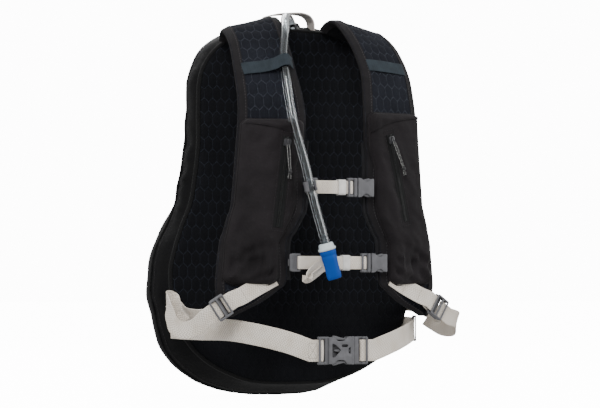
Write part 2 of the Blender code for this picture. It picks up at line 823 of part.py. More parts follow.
def build_glide(name, rail, toward, extra=None):
    """A plate that hooks over the rail.  toward is +1 or -1: the way to the middle of the chest."""
    frame = (rail, X * toward, Z, -Y)
    us = [v * MM for v in (-3.3, -2.1, 2.1, 3.4, 6.2, 8.8, 10.8)]
    vs = [v * MM for v in (-10.5, -8.1, -4.0, 4.0, 8.1, 10.5)]
    ws = [v * MM for v in (-3.2, -2.1, -1.45, 1.45, 2.1, 3.2, 6.6, 9.0)]

    def filled(a, b, c):
        a, b, c = a / MM, b / MM, c / MM
        if a > 3.4:
            if c < 6.6:
                return False
            return a < 6.2 or a > 8.8 or abs(b) > 8.1
        if c > 3.2:
            return True
        if abs(b) > 4.0 or abs(a) < 2.1 and abs(c) < 2.1:
            return False
        return a > -2.1 or abs(c) > 1.45

    cells(name, (us, vs, ws), filled, frame, "grey_plastic", rail, 0.0004)
    return frame


def build_sternum(name, height):
    low = between(STRAP_FLAT, height, 1) - RAIL_OUT
    rail_r = on_pad(-1, low, height, 0)
    rail_l = on_pad(1, low, height, 0)
    plane = -Y * 7.8 * MM
    build_glide(f"{name}_sternum_glide", rail_r, 1)

    mouth = rail_l + plane - X * 11.6 * MM
    frame = (mouth, -X, Z, -Y)
    bar, _ = release_buckle(f"{name}_sternum", frame, STERNUM_WEB, 1.25, hook=-11.6)

    # the webbing, as distances from the mouth along -X and outward
    run = (mouth - rail_r).x / MM
    glide_bar = run - 9.8
    path = [(bar + 15, -LIFT), (bar + 6, -LIFT)] + hairpin(bar, 1)
    path += [(bar + 6, LIFT), ((bar + glide_bar) / 2, LIFT), (glide_bar - 6, LIFT)]
    path += hairpin(glide_bar, -1)[::-1]
    path += [(glide_bar - 6, -LIFT), (glide_bar - 13, -LIFT)]
    points = lay(frame, path)
    ribbon(f"{name}_sternum_webbing", points, Z, STERNUM_WEB, WEB, "webbing", mouth)

    keep = bar + 12 if name == "upper" else bar + 24
    us = [(keep - 4.5) * MM, (keep + 4.5) * MM]
    edge = STERNUM_WEB / MM / 2 + 0.4
    vs = [v * MM for v in (-edge - 0.9, -edge, edge, edge + 0.9)]
    ws = [v * MM for v in (-4.2, -3.3, 3.3, 4.2)]

    def filled(_, b, c):
        return abs(b) > edge * MM or abs(c) > 3.3 * MM

    look = "white_elastic"
    cells(f"{name}_sternum_keeper", (us, vs, ws), filled, frame, look, None, 0.0002)
    return rail_r


def build_waist():
    mouth = at(WAIST_MOUTH, WAIST_Y, WAIST_H)
    frame = (mouth, X, Z, -Y)
    bar, back = release_buckle("waist", frame, WAIST_WEB, 2.0, grow=2.0)
    w = between(HALF_WIDTHS, 0.074 + WAIST_WEB / 2) + 0.005

    # wearer's right: from the buckle's closed end to the side of the bag
    near = lay(frame, [(back - 14, -LIFT), (back - 6, -LIFT)] + hairpin(back, -1))
    near += lay(frame, [(back - 6, LIFT), (back - 14, LIFT)])
    far = [
        at(-0.062, -0.1165, 0.0560),
        at(-0.092, -0.1000, 0.0640),
        at(-0.118, -0.0760, 0.0700),
        at(-0.138, -0.0430, 0.0730),
        at(-w + 0.002, -0.0140, 0.0735),
        at(-w, 0.0060, 0.0740),
        at(-w, 0.0180, 0.0740),
    ]
    path = near + smooth([near[-1]] + far, 2)[1:]
    ribbon("waist_webbing_right", path, Z, WAIST_WEB, WEB, "webbing")

    near = lay(frame, [(bar + 14, -LIFT), (bar + 6, -LIFT)] + hairpin(bar, 1))
    near += lay(frame, [(bar + 6, LIFT), (bar + 14, LIFT)])
    far = [
        at(0.068, -0.1180, 0.0570),
        at(0.097, -0.1000, 0.0650),
        at(0.122, -0.0730, 0.0715),
        at(0.140, -0.0400, 0.0740),
        at(w - 0.001, -0.0120, 0.0735),
        at(w, 0.0060, 0.0740),
        at(w, 0.0180, 0.0740),
    ]
    path = near + smooth([near[-1]] + far, 2)[1:]
    ribbon("waist_webbing_left", path, Z, WAIST_WEB, WEB, "webbing", mouth)

    # a flat slider over the belt, near the side of the bag
    spot = at(0.1312, -0.0580, 0.0730)
    along = (at(0.140, -0.0400, 0.0740) - at(0.122, -0.0730, 0.0715)).normalized()
    up = (Z - along * along.z).normalized()
    out = along.cross(up).normalized()
    us = [v * MM for v in (-6, 6)]
    edge = WAIST_WEB / MM / 2 + 0.5
    vs = [v * MM for v in (-edge - 2.2, -edge, edge, edge + 2.2)]
    ws = [v * MM for v in (-2.6, -1.3, 1.3, 2.6)]

    def filled(_, b, c):
        return abs(b) > edge * MM or abs(c) > 1.3 * MM

    look = "grey_plastic"
    cells("waist_triglide", (us, vs, ws), filled, (spot, along, up, out), look, None, 0.0004)


def lock_frame(side):
    c, s = math.cos(STRAP_TURN), math.sin(STRAP_TURN)
    lean = math.radians(33)
    across = Vector((side * c, s, 0))
    u = across * math.cos(lean) - Z * math.sin(lean)
    v = across * math.sin(lean) + Z * math.cos(lean)
    w = Vector((side * s, -c, 0))
    x, y, h = LOCK_AT
    return (at(side * x, y, h), u, v, w)


def build_lower_webbing(side, name):
    frame = lock_frame(side)
    origin, u, v, w = frame
    us = [t * MM for t in (-12.0, -9.5, -6.0, -2.5, 1.5, 5.0, 9.0)]
    vs = [t * MM for t in (-13.5, -10.7, 10.7, 13.5)]
    ws = [t * MM for t in (-1.5, 1.5)]

    def filled(a, b, _):
        a, b = a / MM, b / MM
        if abs(b) > 10.7:
            return a < 5.0
        return a < -9.5 or -6.0 < a < -2.5 or a > 1.5

    axis = origin - u * 10.75 * MM
    look = "grey_plastic"
    cells(f"{name}_ladder_lock", (us, vs, ws), filled, frame, look, axis, 0.0005)

    # sewn webbing from the pocket's lower edge, round the first bar
    bar = -10.75
    turn = [(bar + 3.05 * math.cos(t), 3.05 * math.sin(t)) for t in (1.57, 1.05, 0.52, 0, -0.52, -1.05, -1.57)]
    rows = [(-34, 1.6), (-22, 2.4)] + turn + [(-18, -2.6), (-22.5, -1.6)]
    if side:
        rows = [(-36, 3.6), (-24, 3.2)] + turn + [(-17, -2.2), (-21, 0.3)]
    points = lay(frame, rows)
    ribbon(f"{name}_strap_webbing", points, v, SHOULDER_WEB, WEB, "webbing")

    # adjuster webbing: side of the bag, round the third bar, and back as a tail
    x = between(HALF_WIDTHS, 0.104) + 0.0048
    mid = [
        at(side * x, 0.0180, 0.1030),
        at(side * x, 0.0040, 0.1030),
        at(side * (x + 0.001), -0.0180, 0.1005),
        at(side * (x + 0.003), -0.0420, 0.0950),
        at(side * (x + 0.004), -0.0640, 0.0890),
    ]
    rear = lay(frame, [(16, -5.0), (9, -2.75)])
    loop = [(3.4 - 4.1 * math.cos(t), 2.6 * math.sin(t)) for t in (-1.3, -0.9, -0.45, 0, 0.45, 0.9, 1.3)]
    front = lay(frame, loop + [(9, 2.75), (17, 2.4)])
    tail = [
        at(side * (x + 0.0085), -0.0790, 0.0800),
        at(side * (x + 0.0105), -0.0620, 0.0780),
        at(side * (x + 0.0100), -0.0440, 0.0820),
        at(side * (x + 0.0075), -0.0200, 0.0900),
    ]
    head = smooth(mid + rear, 2)
    rest = smooth([front[-2], front[-1]] + tail, 2)[2:]
    path = head[:-1] + rear[-1:] + front[:-1] + rest
    start = len(head) - 4
    stop = len(head) + len(front)
    ways = []
    for i in range(len(path)):
        if i < start:
            share = max(0.0, (i - 3) / (start - 3))
        elif i < stop:
            share = 1.0
        else:
            share = max(0.0, 1 - (i - stop) / 5)
        ways.append(Z.lerp(v, share).normalized())
    ribbon(f"{name}_adjuster_webbing", path, ways, SHOULDER_WEB, WEB, "webbing", axis)


# ---------------------------------------------------------------- drink tube


def build_tube():
    frames = pad_frames(-1)
    loop = frames[LOOP_RING]

    def over(frame, a, n):
        return frame[0] + frame[1] * a + frame[2] * n

    clip = CLIP_AT
    path = [
        PORT_AT + PORT_WAY * 0.0002,
        PORT_AT + PORT_WAY * 0.0170,
        at(-0.0095, -0.0060, 0.4425),
        at(-0.0215, -0.0250, 0.4425),
        at(-0.0320, -0.0430, 0.4385),
        over(frames[4], -0.0325, 0.0118),
        over(frames[5], -0.0260, 0.0110),
        over(loop, -0.0235, 0.0107),
        over(frames[7], -0.0230, 0.0110),
        over(frames[8], -0.0225, 0.0120),
        on_pad(-1, -0.0240, 0.3220, 0.0150),
        on_pad(-1, -0.0285, 0.3000, 0.0196),
        on_pad(-1, -0.0345, 0.2780, 0.0208),
        at(-0.0455, -0.1292, 0.2600),
        clip + CLIP_WAY * 0.0002,
    ]
    tube("drink_tube_upper", path, (PORT_WAY, -CLIP_WAY))

    end = COLLAR_AT - VALVE_WAY * 0.0098
    path = [
        clip - CLIP_WAY * 0.0002,
        at(-0.0315, -0.1310, 0.2040),
        end - VALVE_WAY * 0.0180,
        end,
    ]
    tube("drink_tube_lower", path, (-CLIP_WAY, VALVE_WAY), clip)

    # a C of plastic on the glide that grips the tube
    shape = []
    for radius, order in ((5.35, 1), (7.35, -1)):
        turns = [math.radians(t) for t in range(40, 321, 28)][::order]
        shape += [(radius * MM * math.cos(t), radius * MM * math.sin(t)) for t in turns]
    way = CLIP_WAY
    out = (-Y - way * (-Y).dot(way)).normalized()
    prism("tube_clip", shape, (clip, out, way.cross(out), way), -0.006, 0.006, "grey_plastic", None, 0.0003)

    profile = [
        (-0.0094, 0.0058),
        (-0.0030, 0.0074),
        (-0.0024, 0.0102),
        (0.0008, 0.0102),
        (0.0008, 0.0048),
        (0.0075, 0.0045),
    ]
    turned("bite_valve_collar", COLLAR_AT, VALVE_WAY, profile, "collar")
    profile = [
        (0.0082, 0.0050),
        (0.0012, 0.0052),
        (0.0012, 0.0088),
        (0.0060, 0.0084),
        (0.0130, 0.0078, 0.95),
        (0.0200, 0.0080, 0.80),
        (0.0280, 0.0090, 0.58),
        (0.0330, 0.0093, 0.46),
        (0.0355, 0.0084, 0.36),
    ]
    turned("bite_valve", COLLAR_AT, VALVE_WAY, profile, "valve_blue", COLLAR_AT, 24)


CLIP_AT = at(-0.0400, -0.1294, UPPER_H)
CLIP_WAY = Vector((-0.20, 0.055, 0.978)).normalized()
VALVE_WAY = Vector((0.27, -0.03, -0.962)).normalized()
COLLAR_AT = at(-0.0205, -0.1330, 0.1650)


for old in list(bpy.data.objects):
    bpy.data.objects.remove(old, do_unlink=True)

build_bag()
build_haul_loop()
build_main_zipper()
build_reservoir()
for side, name in ((-1, "right"), (1, "left")):
    build_strap(side, name)
    build_lower_webbing(side, name)
build_sternum("upper", UPPER_H)
build_sternum("lower", LOWER_H)
build_waist()
build_tube()
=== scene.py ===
"""Looks of the hydration pack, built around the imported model.

Metres, +Z up, -Y from the back panel toward the harness, +X the wearer's left.
Heights in the tables are from a level 215 mm below the origin, as in the part.
"""

import json
import math

import bmesh
import bpy
import numpy as np
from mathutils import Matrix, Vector, noise

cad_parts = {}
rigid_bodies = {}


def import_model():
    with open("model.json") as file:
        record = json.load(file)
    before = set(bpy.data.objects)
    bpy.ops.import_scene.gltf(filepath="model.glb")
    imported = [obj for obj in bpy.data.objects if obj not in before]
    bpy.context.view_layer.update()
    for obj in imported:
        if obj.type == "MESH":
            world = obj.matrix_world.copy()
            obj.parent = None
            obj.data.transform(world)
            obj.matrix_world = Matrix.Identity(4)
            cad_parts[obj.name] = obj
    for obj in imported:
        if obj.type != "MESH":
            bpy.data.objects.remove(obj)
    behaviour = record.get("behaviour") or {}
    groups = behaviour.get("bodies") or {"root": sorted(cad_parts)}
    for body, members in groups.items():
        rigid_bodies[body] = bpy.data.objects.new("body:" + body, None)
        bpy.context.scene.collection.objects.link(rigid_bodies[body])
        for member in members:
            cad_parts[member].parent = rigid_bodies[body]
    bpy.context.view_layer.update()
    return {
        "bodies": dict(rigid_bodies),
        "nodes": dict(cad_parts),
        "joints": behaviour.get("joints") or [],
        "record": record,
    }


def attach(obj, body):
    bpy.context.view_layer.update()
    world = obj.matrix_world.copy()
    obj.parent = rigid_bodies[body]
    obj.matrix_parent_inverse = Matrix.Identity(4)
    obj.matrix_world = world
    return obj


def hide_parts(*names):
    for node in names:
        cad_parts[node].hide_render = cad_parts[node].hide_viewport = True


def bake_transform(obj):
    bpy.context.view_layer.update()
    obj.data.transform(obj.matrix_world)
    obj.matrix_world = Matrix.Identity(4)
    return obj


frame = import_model()

MM = 0.001
BASE = 0.215
X, Y, Z = Vector((1, 0, 0)), Vector((0, 1, 0)), Vector((0, 0, 1))
SCENE = bpy.context.scene

# ---------------------------------------------------------------- camera, stage, light


def aim(obj, spot, target):
    obj.location = spot
    way = Vector(target) - Vector(spot)
    obj.rotation_euler = way.to_track_quat("-Z", "Y").to_euler()
    SCENE.collection.objects.link(obj)


AZIMUTH, ELEVATION, DISTANCE = math.radians(-25.1), math.radians(-2.0), 3.0
TARGET = Vector((-0.0065, -0.03, 0.0054))
camera = bpy.data.objects.new("camera", bpy.data.cameras.new("camera"))
camera.data.lens = 152.0
camera.data.sensor_width = 36.0
away = Vector(
    (
        math.sin(AZIMUTH) * math.cos(ELEVATION),
        -math.cos(AZIMUTH) * math.cos(ELEVATION),
        math.sin(ELEVATION),
    )
)
aim(camera, TARGET + away * DISTANCE, TARGET)
SCENE.camera = camera


def softbox(name, spot, size, watts, target=(0, 0, 0)):
    data = bpy.data.lights.new(name, "AREA")
    data.shape = "RECTANGLE"
    data.size, data.size_y = size
    data.energy = watts
    aim(bpy.data.objects.new(name, data), spot, target)


softbox("key_light", (-1.5, -2.2, 1.9), (1.3, 1.3), 88)
softbox("fill_light", (2.3, -1.5, 0.9), (1.6, 1.6), 46)
softbox("left_light", (-2.3, 0.1, 0.6), (1.0, 1.8), 15)
softbox("rim_light", (0.5, 2.3, 1.9), (1.8, 1.2), 40)

SKY_STRENGTH, BACKDROP_STRENGTH = 0.75, 13.0
sky = bpy.data.worlds.new("studio")
sky.use_nodes = True
SCENE.world = sky
sky_nodes, sky_links = sky.node_tree.nodes, sky.node_tree.links
seen = sky_nodes.new("ShaderNodeLightPath")
bright = sky_nodes.new("ShaderNodeMapRange")
bright.inputs["To Min"].default_value = SKY_STRENGTH
bright.inputs["To Max"].default_value = BACKDROP_STRENGTH
sky_links.new(seen.outputs["Is Camera Ray"], bright.inputs["Value"])
sky_links.new(bright.outputs[0], sky_nodes["Background"].inputs["Strength"])
sky_nodes["Background"].inputs["Color"].default_value = (1, 1, 1, 1)

# the pale floor, lit evenly, which the camera alone sees
paper = bpy.data.materials.new("paper_floor")
paper.use_nodes = True
glow = paper.node_tree.nodes["Principled BSDF"].inputs
glow["Base Color"].default_value = (0.9, 0.9, 0.9, 1)
glow["Emission Color"].default_value = (1, 1, 1, 1)
glow["Emission Strength"].default_value = BACKDROP_STRENGTH
FLOOR_Z, FLOOR_REACH = -0.2236, 30.0
floor_mesh = bpy.data.meshes.new("studio_floor")
corners = [(a * FLOOR_REACH, b * FLOOR_REACH, FLOOR_Z) for a, b in ((-1, -1), (1, -1), (1, 1), (-1, 1))]
floor_mesh.from_pydata(corners, [], [(0, 1, 2, 3)])
floor_mesh.materials.append(paper)
floor = bpy.data.objects.new("studio_floor", floor_mesh)
SCENE.collection.objects.link(floor)
floor.visible_diffuse = floor.visible_glossy = floor.visible_transmission = floor.visible_shadow = False

# ---------------------------------------------------------------- materials


def rgb(r, g, b):
    """A linear colour from display values of 0 to 255."""
    return tuple(
        (v / 255 / 12.92 if v < 10.3 else ((v / 255 + 0.055) / 1.055) ** 2.4)
        for v in (r, g, b)
    ) + (1.0,)


def toned(linear, share):
    """A linear colour times a share, or times one share a channel."""
    shares = share if isinstance(share, tuple) else (share,) * 3
    return tuple(v * f for v, f in zip(linear, shares)) + (1,)


class Look:
    """A Principled material, and short ways to add nodes to it."""

    def __init__(self, name, rough=0.8, metal=0.0, **sockets):
        self.mat = bpy.data.materials.new(name)
        self.mat.use_nodes = True
        self.tree = self.mat.node_tree
        self.shader = self.tree.nodes["Principled BSDF"]
        self.set("Roughness", rough)
        self.set("Metallic", metal)
        for key, value in sockets.items():
            self.set(key.replace("_", " "), value)

    def set(self, socket, value):
        self.put(self.shader.inputs[socket], value)

    def put(self, socket, value):
        if isinstance(value, bpy.types.NodeSocket):
            self.tree.links.new(value, socket)
        elif value is not None:
            socket.default_value = value

    def node(self, kind, *values, **props):
        node = self.tree.nodes.new("ShaderNode" + kind)
        for key, value in props.items():
            setattr(node, key, value)
        for socket, value in zip(node.inputs, values):
            self.put(socket, value)
        return node

    def math(self, op, *values):
        return self.node("Math", *values, operation=op).outputs[0]

    def vec(self, op, *values):
        node = self.node("VectorMath", *values, operation=op)
        return node.outputs["Value" if op in ("DOT_PRODUCT", "LENGTH") else "Vector"]

    def place(self, uv=False, scale=(1, 1, 1)):
        """Coordinates in metres times scale: the piece's own, or along its strip."""
        if uv:
            spot = self.node("UVMap", uv_map="strip").outputs[0]
        else:
            spot = self.node("TexCoord").outputs["Object"]
        return self.vec("MULTIPLY", spot, scale)

    def split(self, spot):
        return self.node("SeparateXYZ", spot).outputs

    def noise(self, spot, scale, detail=3.0, rough=0.5):
        node = self.node("TexNoise")
        self.put(node.inputs["Vector"], spot)
        self.put(node.inputs["Scale"], scale)
        self.put(node.inputs["Detail"], detail)
        self.put(node.inputs["Roughness"], rough)
        return node.outputs["Fac"]

    def steps(self, value, low, high, out_low=0.0, out_high=1.0):
        node = self.node("MapRange", value, low, high, out_low, out_high)
        node.interpolation_type = "SMOOTHSTEP"
        return node.outputs[0]

    def mix(self, share, a, b):
        node = self.node("Mix", data_type="RGBA")
        self.put(node.inputs[0], share)
        self.put(node.inputs[6], a)
        self.put(node.inputs[7], b)
        return node.outputs[2]

    def bump(self, height, distance, normal=None, strength=1.0):
        node = self.node("Bump")
        self.put(node.inputs["Strength"], strength)
        self.put(node.inputs["Distance"], distance)
        self.put(node.inputs["Height"], height)
        self.put(node.inputs["Normal"], normal)
        return node.outputs["Normal"]


def weave_height(look, uv, pitch):
    """Over-and-under threads, 0 to 1, of that pitch in metres."""
    spot = look.split(look.place(uv, (math.pi / pitch,) * 3))
    across = look.math("SINE", spot[0])
    along = look.math("SINE", spot[1] if uv else spot[2])
    cross = look.math("MULTIPLY", across, along)
    return look.math("MULTIPLY_ADD", cross, 0.5, 0.5)


# how tall a regular hexagon's cell is, for a width of one, and half of that
CELL_TALL, CELL_HALF = 1.732, 0.866


def hexagons(look, uv, wide=0.0106, tall=0.03):
    """Distance from the nearest side of elongated hexagons, as a share of their width."""
    spot = look.place(uv, (1 / wide, (CELL_TALL / tall) if uv else 1 / wide, CELL_TALL / tall))
    parts = look.split(spot)
    flat = look.node("CombineXYZ", parts[0], parts[1] if uv else parts[2], 0.0).outputs[0]

    def cell(shift):
        moved = look.vec("ADD", flat, shift)
        held = look.vec("WRAP", moved, (0.5, CELL_HALF, 1), (-0.5, -CELL_HALF, -1))
        held = look.vec("ABSOLUTE", held)
        slope = look.vec("DOT_PRODUCT", held, (0.5, CELL_HALF, 0))
        return look.math("MAXIMUM", slope, look.split(held)[0])

    nearest = look.math("MINIMUM", cell((0, 0, 0)), cell((0.5, CELL_HALF, 0)))
    return look.math("SUBTRACT", 0.5, nearest)


def hex_fabric(name, uv, ground=(14, 16, 21), line=(40, 43, 50), fades=False):
    look = Look(name, 0.85, Sheen_Weight=0.0, Specular_IOR_Level=0.1)
    side = hexagons(look, uv)
    ridge = look.steps(side, 0.012, 0.058, 1.0, 0.0)
    cloud = look.noise(look.place(), 22.0, 4.0)
    broken = look.noise(look.place(), 260.0, 2.0)
    # The ridges take the lighter line colour: a painted highlight where the raised ridges catch light, broken
    # up by fine noise.
    painted_ridge_highlight = look.math("MULTIPLY", ridge, look.steps(broken, 0.3, 0.62, 0.35, 1.0))
    # On the panel the painted ridge highlight fades out toward the bottom.
    if fades:
        rise = look.split(look.place())[2]
        painted_ridge_highlight = look.math("MULTIPLY", painted_ridge_highlight, look.steps(rise, -0.135, -0.095, 0.12, 1.0))
    knit = look.node("TexVoronoi")
    look.put(knit.inputs["Vector"], look.place(False, (1, 1, 0.7)))
    look.put(knit.inputs["Scale"], 900.0)
    lit = toned(rgb(*ground), 1.55)
    base = look.mix(look.steps(cloud, 0.35, 0.7), rgb(*ground), lit)
    base = look.mix(look.math("MULTIPLY", knit.outputs["Distance"], 0.45), base, (0.002, 0.002, 0.003, 1))
    look.set("Base Color", look.mix(painted_ridge_highlight, base, rgb(*line)))
    pillow = look.steps(side, 0.0, 0.34)
    height = look.math("MULTIPLY_ADD", ridge, 0.55, look.math("MULTIPLY", pillow, 0.5))
    first = look.bump(height, 0.0011)
    look.set("Normal", look.bump(knit.outputs["Distance"], 0.00025, first, 0.7))
    return look.mat


def cloth(name, colour, pitch=0.0007, sheen=0.1, uv=False, cloud_spread=0.25, rough=0.8, depth=0.00018, gloss=0.1):
    """Plain woven cloth with a fine weave, cloudy colour and faint creases."""
    look = Look(name, rough, Sheen_Weight=sheen, Sheen_Roughness=0.45, Specular_IOR_Level=gloss)
    thread = weave_height(look, uv, pitch)
    cloud = look.noise(look.place(), 16.0, 5.0, 0.6)
    # The cloudy colour strays this share darker and lighter. On the pocket, its wider share is partly painted
    # shade and painted highlight for the folds, partly random tone.
    dark, light = toned(rgb(*colour), 1 - cloud_spread), toned(rgb(*colour), 1 + cloud_spread)
    base = look.mix(look.steps(cloud, 0.3, 0.7), dark, light)
    base = look.mix(look.math("MULTIPLY", thread, 0.3), base, dark)
    look.set("Base Color", base)
    crease = look.noise(look.place(False, (1, 1, 2.2)), 34.0, 6.0, 0.62)
    first = look.bump(crease, 0.0022, None, 0.6)
    look.set("Normal", look.bump(thread, depth, first))
    return look.mat


def webbing_look(name, colour, rib=0.0011, uv=True, sheen=0.15):
    """Herringbone twill along a strip, with dusty, worn patches."""
    look = Look(name, 0.78, Sheen_Weight=sheen, Sheen_Roughness=0.4)
    spot = look.split(look.place(uv))
    zig = look.math("PINGPONG", spot[0], 0.0025)
    slant = look.math("ADD", look.math("MULTIPLY", zig, 1.1), spot[1])
    twill = look.math("SINE", look.math("MULTIPLY", slant, 2 * math.pi / rib))
    yarn = look.math("SINE", look.math("MULTIPLY", spot[0], 2 * math.pi / (rib * 0.6)))
    height = look.math("MULTIPLY_ADD", twill, 0.38, look.math("MULTIPLY_ADD", yarn, 0.12, 0.5))
    cloud = look.noise(look.place(), 70.0, 4.0, 0.6)
    light = rgb(*colour)
    # dark is painted shade for the twill's low grooves; soiled is dusty soiling in cloudy patches.
    dark, soiled = toned(light, (0.52, 0.49, 0.45)), toned(light, (0.86, 0.83, 0.79))
    base = look.mix(look.steps(cloud, 0.35, 0.72), light, soiled)
    # Where the twill is low, the colour goes toward dark: painted shade in the grooves.
    look.set("Base Color", look.mix(look.steps(height, 0.05, 0.62, 0.85, 0.0), base, dark))
    first = look.bump(look.noise(look.place(), 60.0, 3.0), 0.0006, None, 0.5)
    look.set("Normal", look.bump(height, 0.00032, first))
    return look.mat


def moulded(name, colour, rough=0.42, grain=0.00006, cloud_spread=0.35, gloss=0.4):
    """Moulded plastic: fine spark grain, cloudy gloss, and lighter rubbed spots."""
    look = Look(name, rough, Specular_IOR_Level=gloss)
    fine = look.noise(look.place(), 2600.0, 2.0)
    cloud = look.noise(look.place(), 120.0, 5.0, 0.6)
    light = toned(rgb(*colour), 1 + cloud_spread)
    look.set("Base Color", look.mix(look.steps(cloud, 0.45, 0.8), rgb(*colour), light))
    look.set("Roughness", look.steps(cloud, 0.3, 0.75, rough - 0.07, rough + 0.12))
    look.set("Normal", look.bump(fine, grain))
    return look.mat


def ribbed(name, colour, pitch, along=True, rough=0.75, depth=0.0003):
    """Elastic or grosgrain with ribs along or across its strip."""
    look = Look(name, rough, Sheen_Weight=0.01, Specular_IOR_Level=0.15)
    spot = look.split(look.place(True))
    wave = look.math("SINE", look.math("MULTIPLY", spot[1 if along else 0], 2 * math.pi / pitch))
    cross = look.math("SINE", look.math("MULTIPLY", spot[0 if along else 1], math.pi / pitch))
    height = look.math("MULTIPLY_ADD", wave, 0.4, look.math("MULTIPLY_ADD", cross, 0.1, 0.5))
    dark = toned(rgb(*colour), 0.62)
    cloud = look.noise(look.place(), 90.0, 4.0)
    base = look.mix(look.steps(cloud, 0.3, 0.75), rgb(*colour), dark)
    # Where the ribs are low, the colour goes toward dark: painted shade in the grooves between them.
    look.set("Base Color", look.mix(look.steps(height, 0.0, 0.45, 0.7, 0.0), base, dark))
    look.set("Normal", look.bump(height, depth))
    return look.mat


# The second colour of each is the painted highlight on the hexagon ridges.
HEX_STRIP = hex_fabric("hex_fabric_strap", True, (22, 24, 30), (46, 49, 56))
HEX_PANEL = hex_fabric("hex_fabric_panel", False, (9, 10, 13), (29, 32, 39), True)
NYLON = cloth("bag_nylon", (5, 5, 6), 0.0006, 0.0, rough=0.62, gloss=0.08)
UNDERSIDE = cloth("strap_underside", (16, 16, 18), 0.0009, 0.015)
# Its cloudy colour strays 0.34 either way: partly painted shade and painted highlight for light on the
# pocket's folds, partly random tone.
POCKET = cloth("pocket_stretch", (24, 21, 23), 0.0008, 0.03, False, 0.34, gloss=0.16)
BINDING = ribbed("binding_tape", (26, 24, 26), 0.0012)
DARK_TAPE = ribbed("panel_tape", (6, 6, 7), 0.0012)
ELASTIC = ribbed("elastic_band", (42, 50, 56), 0.0015, False)
WHITE_ELASTIC = ribbed("white_elastic_band", (226, 224, 220), 0.0016, False)
WEBBING = webbing_look("pale_webbing", (220, 213, 203), 0.003)
LOOP_WEB = webbing_look("loop_webbing_weave", (188, 182, 178), 0.0013)
PLASTIC = moulded("grey_acetal", (84, 84, 87), 0.45)
BLACK_PLASTIC = moulded("black_moulding", (30, 30, 32))
METAL = moulded("zip_metal_worn", (40, 40, 43), 0.34, 0.00004)
THREAD = moulded("sewing_thread", (30, 28, 30), 0.85, 0.00005)
GREY_THREAD = moulded("grey_thread", (64, 62, 64), 0.85, 0.00005)
PALE_THREAD = moulded("pale_thread", (150, 142, 132), 0.8, 0.00005)
TAPE = cloth("zip_tape", (22, 23, 23), 0.0006, 0.05)
COIL = moulded("zip_coil", (26, 27, 27), 0.5)
BLUE = moulded("valve_silicone", (0, 62, 140), 0.5, 0.00005, 0.12, 0.12)
BLUE_CAP = moulded("cap_moulding", (22, 90, 160), 0.4)


def clear(name, tint, rough, weight, ior=1.46):
    look = Look(name, rough, Transmission_Weight=weight, IOR=ior)
    haze = look.noise(look.place(), 55.0, 4.0, 0.6)
    look.set("Base Color", look.mix(look.steps(haze, 0.35, 0.7), (*tint, 1), toned(tint, 0.93)))
    look.set("Roughness", look.steps(haze, 0.3, 0.75, rough, rough + 0.08))
    look.set("Normal", look.bump(haze, 0.0003, None, 0.12))
    return look.mat


HOSE = clear("clear_hose", (0.8, 0.84, 0.86), 0.03, 1.0, 1.42)
COLLAR = clear("collar_translucent", (0.74, 0.83, 0.86), 0.3, 0.35)
FILM = clear("bladder_film", (0.62, 0.78, 0.88), 0.22, 0.55)
BARB = moulded("fitting_clear_grey", (66, 74, 78), 0.3)


# ---------------------------------------------------------------- shapes


def at(x, y, height):
    return Vector((x, y, height - BASE))


def curved(windows, per):
    """Catmull-Rom points: per steps between the middle two of every four neighbours."""
    out = []
    for a, b, c, d in windows:
        for i in range(per):
            t = i / per
            cubic = (2 * a - 5 * b + 4 * c - d) * t * t + (3 * b - 3 * c + d - a) * t**3
            out.append(0.5 * (2 * b + (c - a) * t + cubic))
    return out


def open_curve(points, per):
    """A smooth run up to the last point, its ends carried straight on."""
    ends = [2 * points[0] - points[1]] + list(points) + [2 * points[-1] - points[-2]]
    return curved(zip(ends, ends[1:], ends[2:], ends[3:]), per)


def smooth(points, per=3):
    return open_curve(points, per) + [points[-1].copy()]


def curve_rows(rows, per):
    """Rows of numbers, made into a smooth run."""
    rows = [np.array(row, float) for row in rows]
    return open_curve(rows, per) + [rows[-1]]


def tangents(path):
    out = []
    for i in range(len(path)):
        out.append((path[min(i + 1, len(path) - 1)] - path[max(i - 1, 0)]).normalized())
    return out


def between(rows, height, column=1):
    rows = sorted(rows)
    for low, high in zip(rows, rows[1:]):
        if low[0] <= height <= high[0]:
            share = (height - low[0]) / (high[0] - low[0])
            return low[column] + share * (high[column] - low[column])
    return rows[0][column] if height < rows[0][0] else rows[-1][column]


def ease(value, low=0.0, high=1.0):
    t = min(max((value - low) / (high - low), 0.0), 1.0)
    return t * t * (3 - 2 * t)


# an edge is left sharp past these angles: between a piece's faces, and on moulded plates
SHARP_PIECE, SHARP_PLATE = math.radians(42), math.radians(38)


def piece(name, verts, faces, mat, body="pack", stands_for=(), flat=False, uvs=None, mats=None):
    """A mesh piece that rides on a body.  uvs holds one pair a vertex, in metres."""
    mesh = bpy.data.meshes.new(name)
    mesh.from_pydata([tuple(v) for v in verts], [], faces)
    mesh.validate()
    if uvs is not None:
        layer = mesh.uv_layers.new(name="strip")
        for loop in mesh.loops:
            layer.data[loop.index].uv = uvs[loop.vertex_index]
    mesh.materials.append(mat)
    for extra in mats or ():
        mesh.materials.append(extra)
    obj = bpy.data.objects.new(name, mesh)
    SCENE.collection.objects.link(obj)
    if not flat:
        mesh.shade_smooth()
        mesh.set_sharp_from_angle(angle=SHARP_PIECE)
    settle(obj, body, stands_for)
    return obj


def settle(obj, body, stands_for=()):
    if body:
        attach(obj, body)
    if stands_for:
        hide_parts(*([stands_for] if isinstance(stands_for, str) else stands_for))


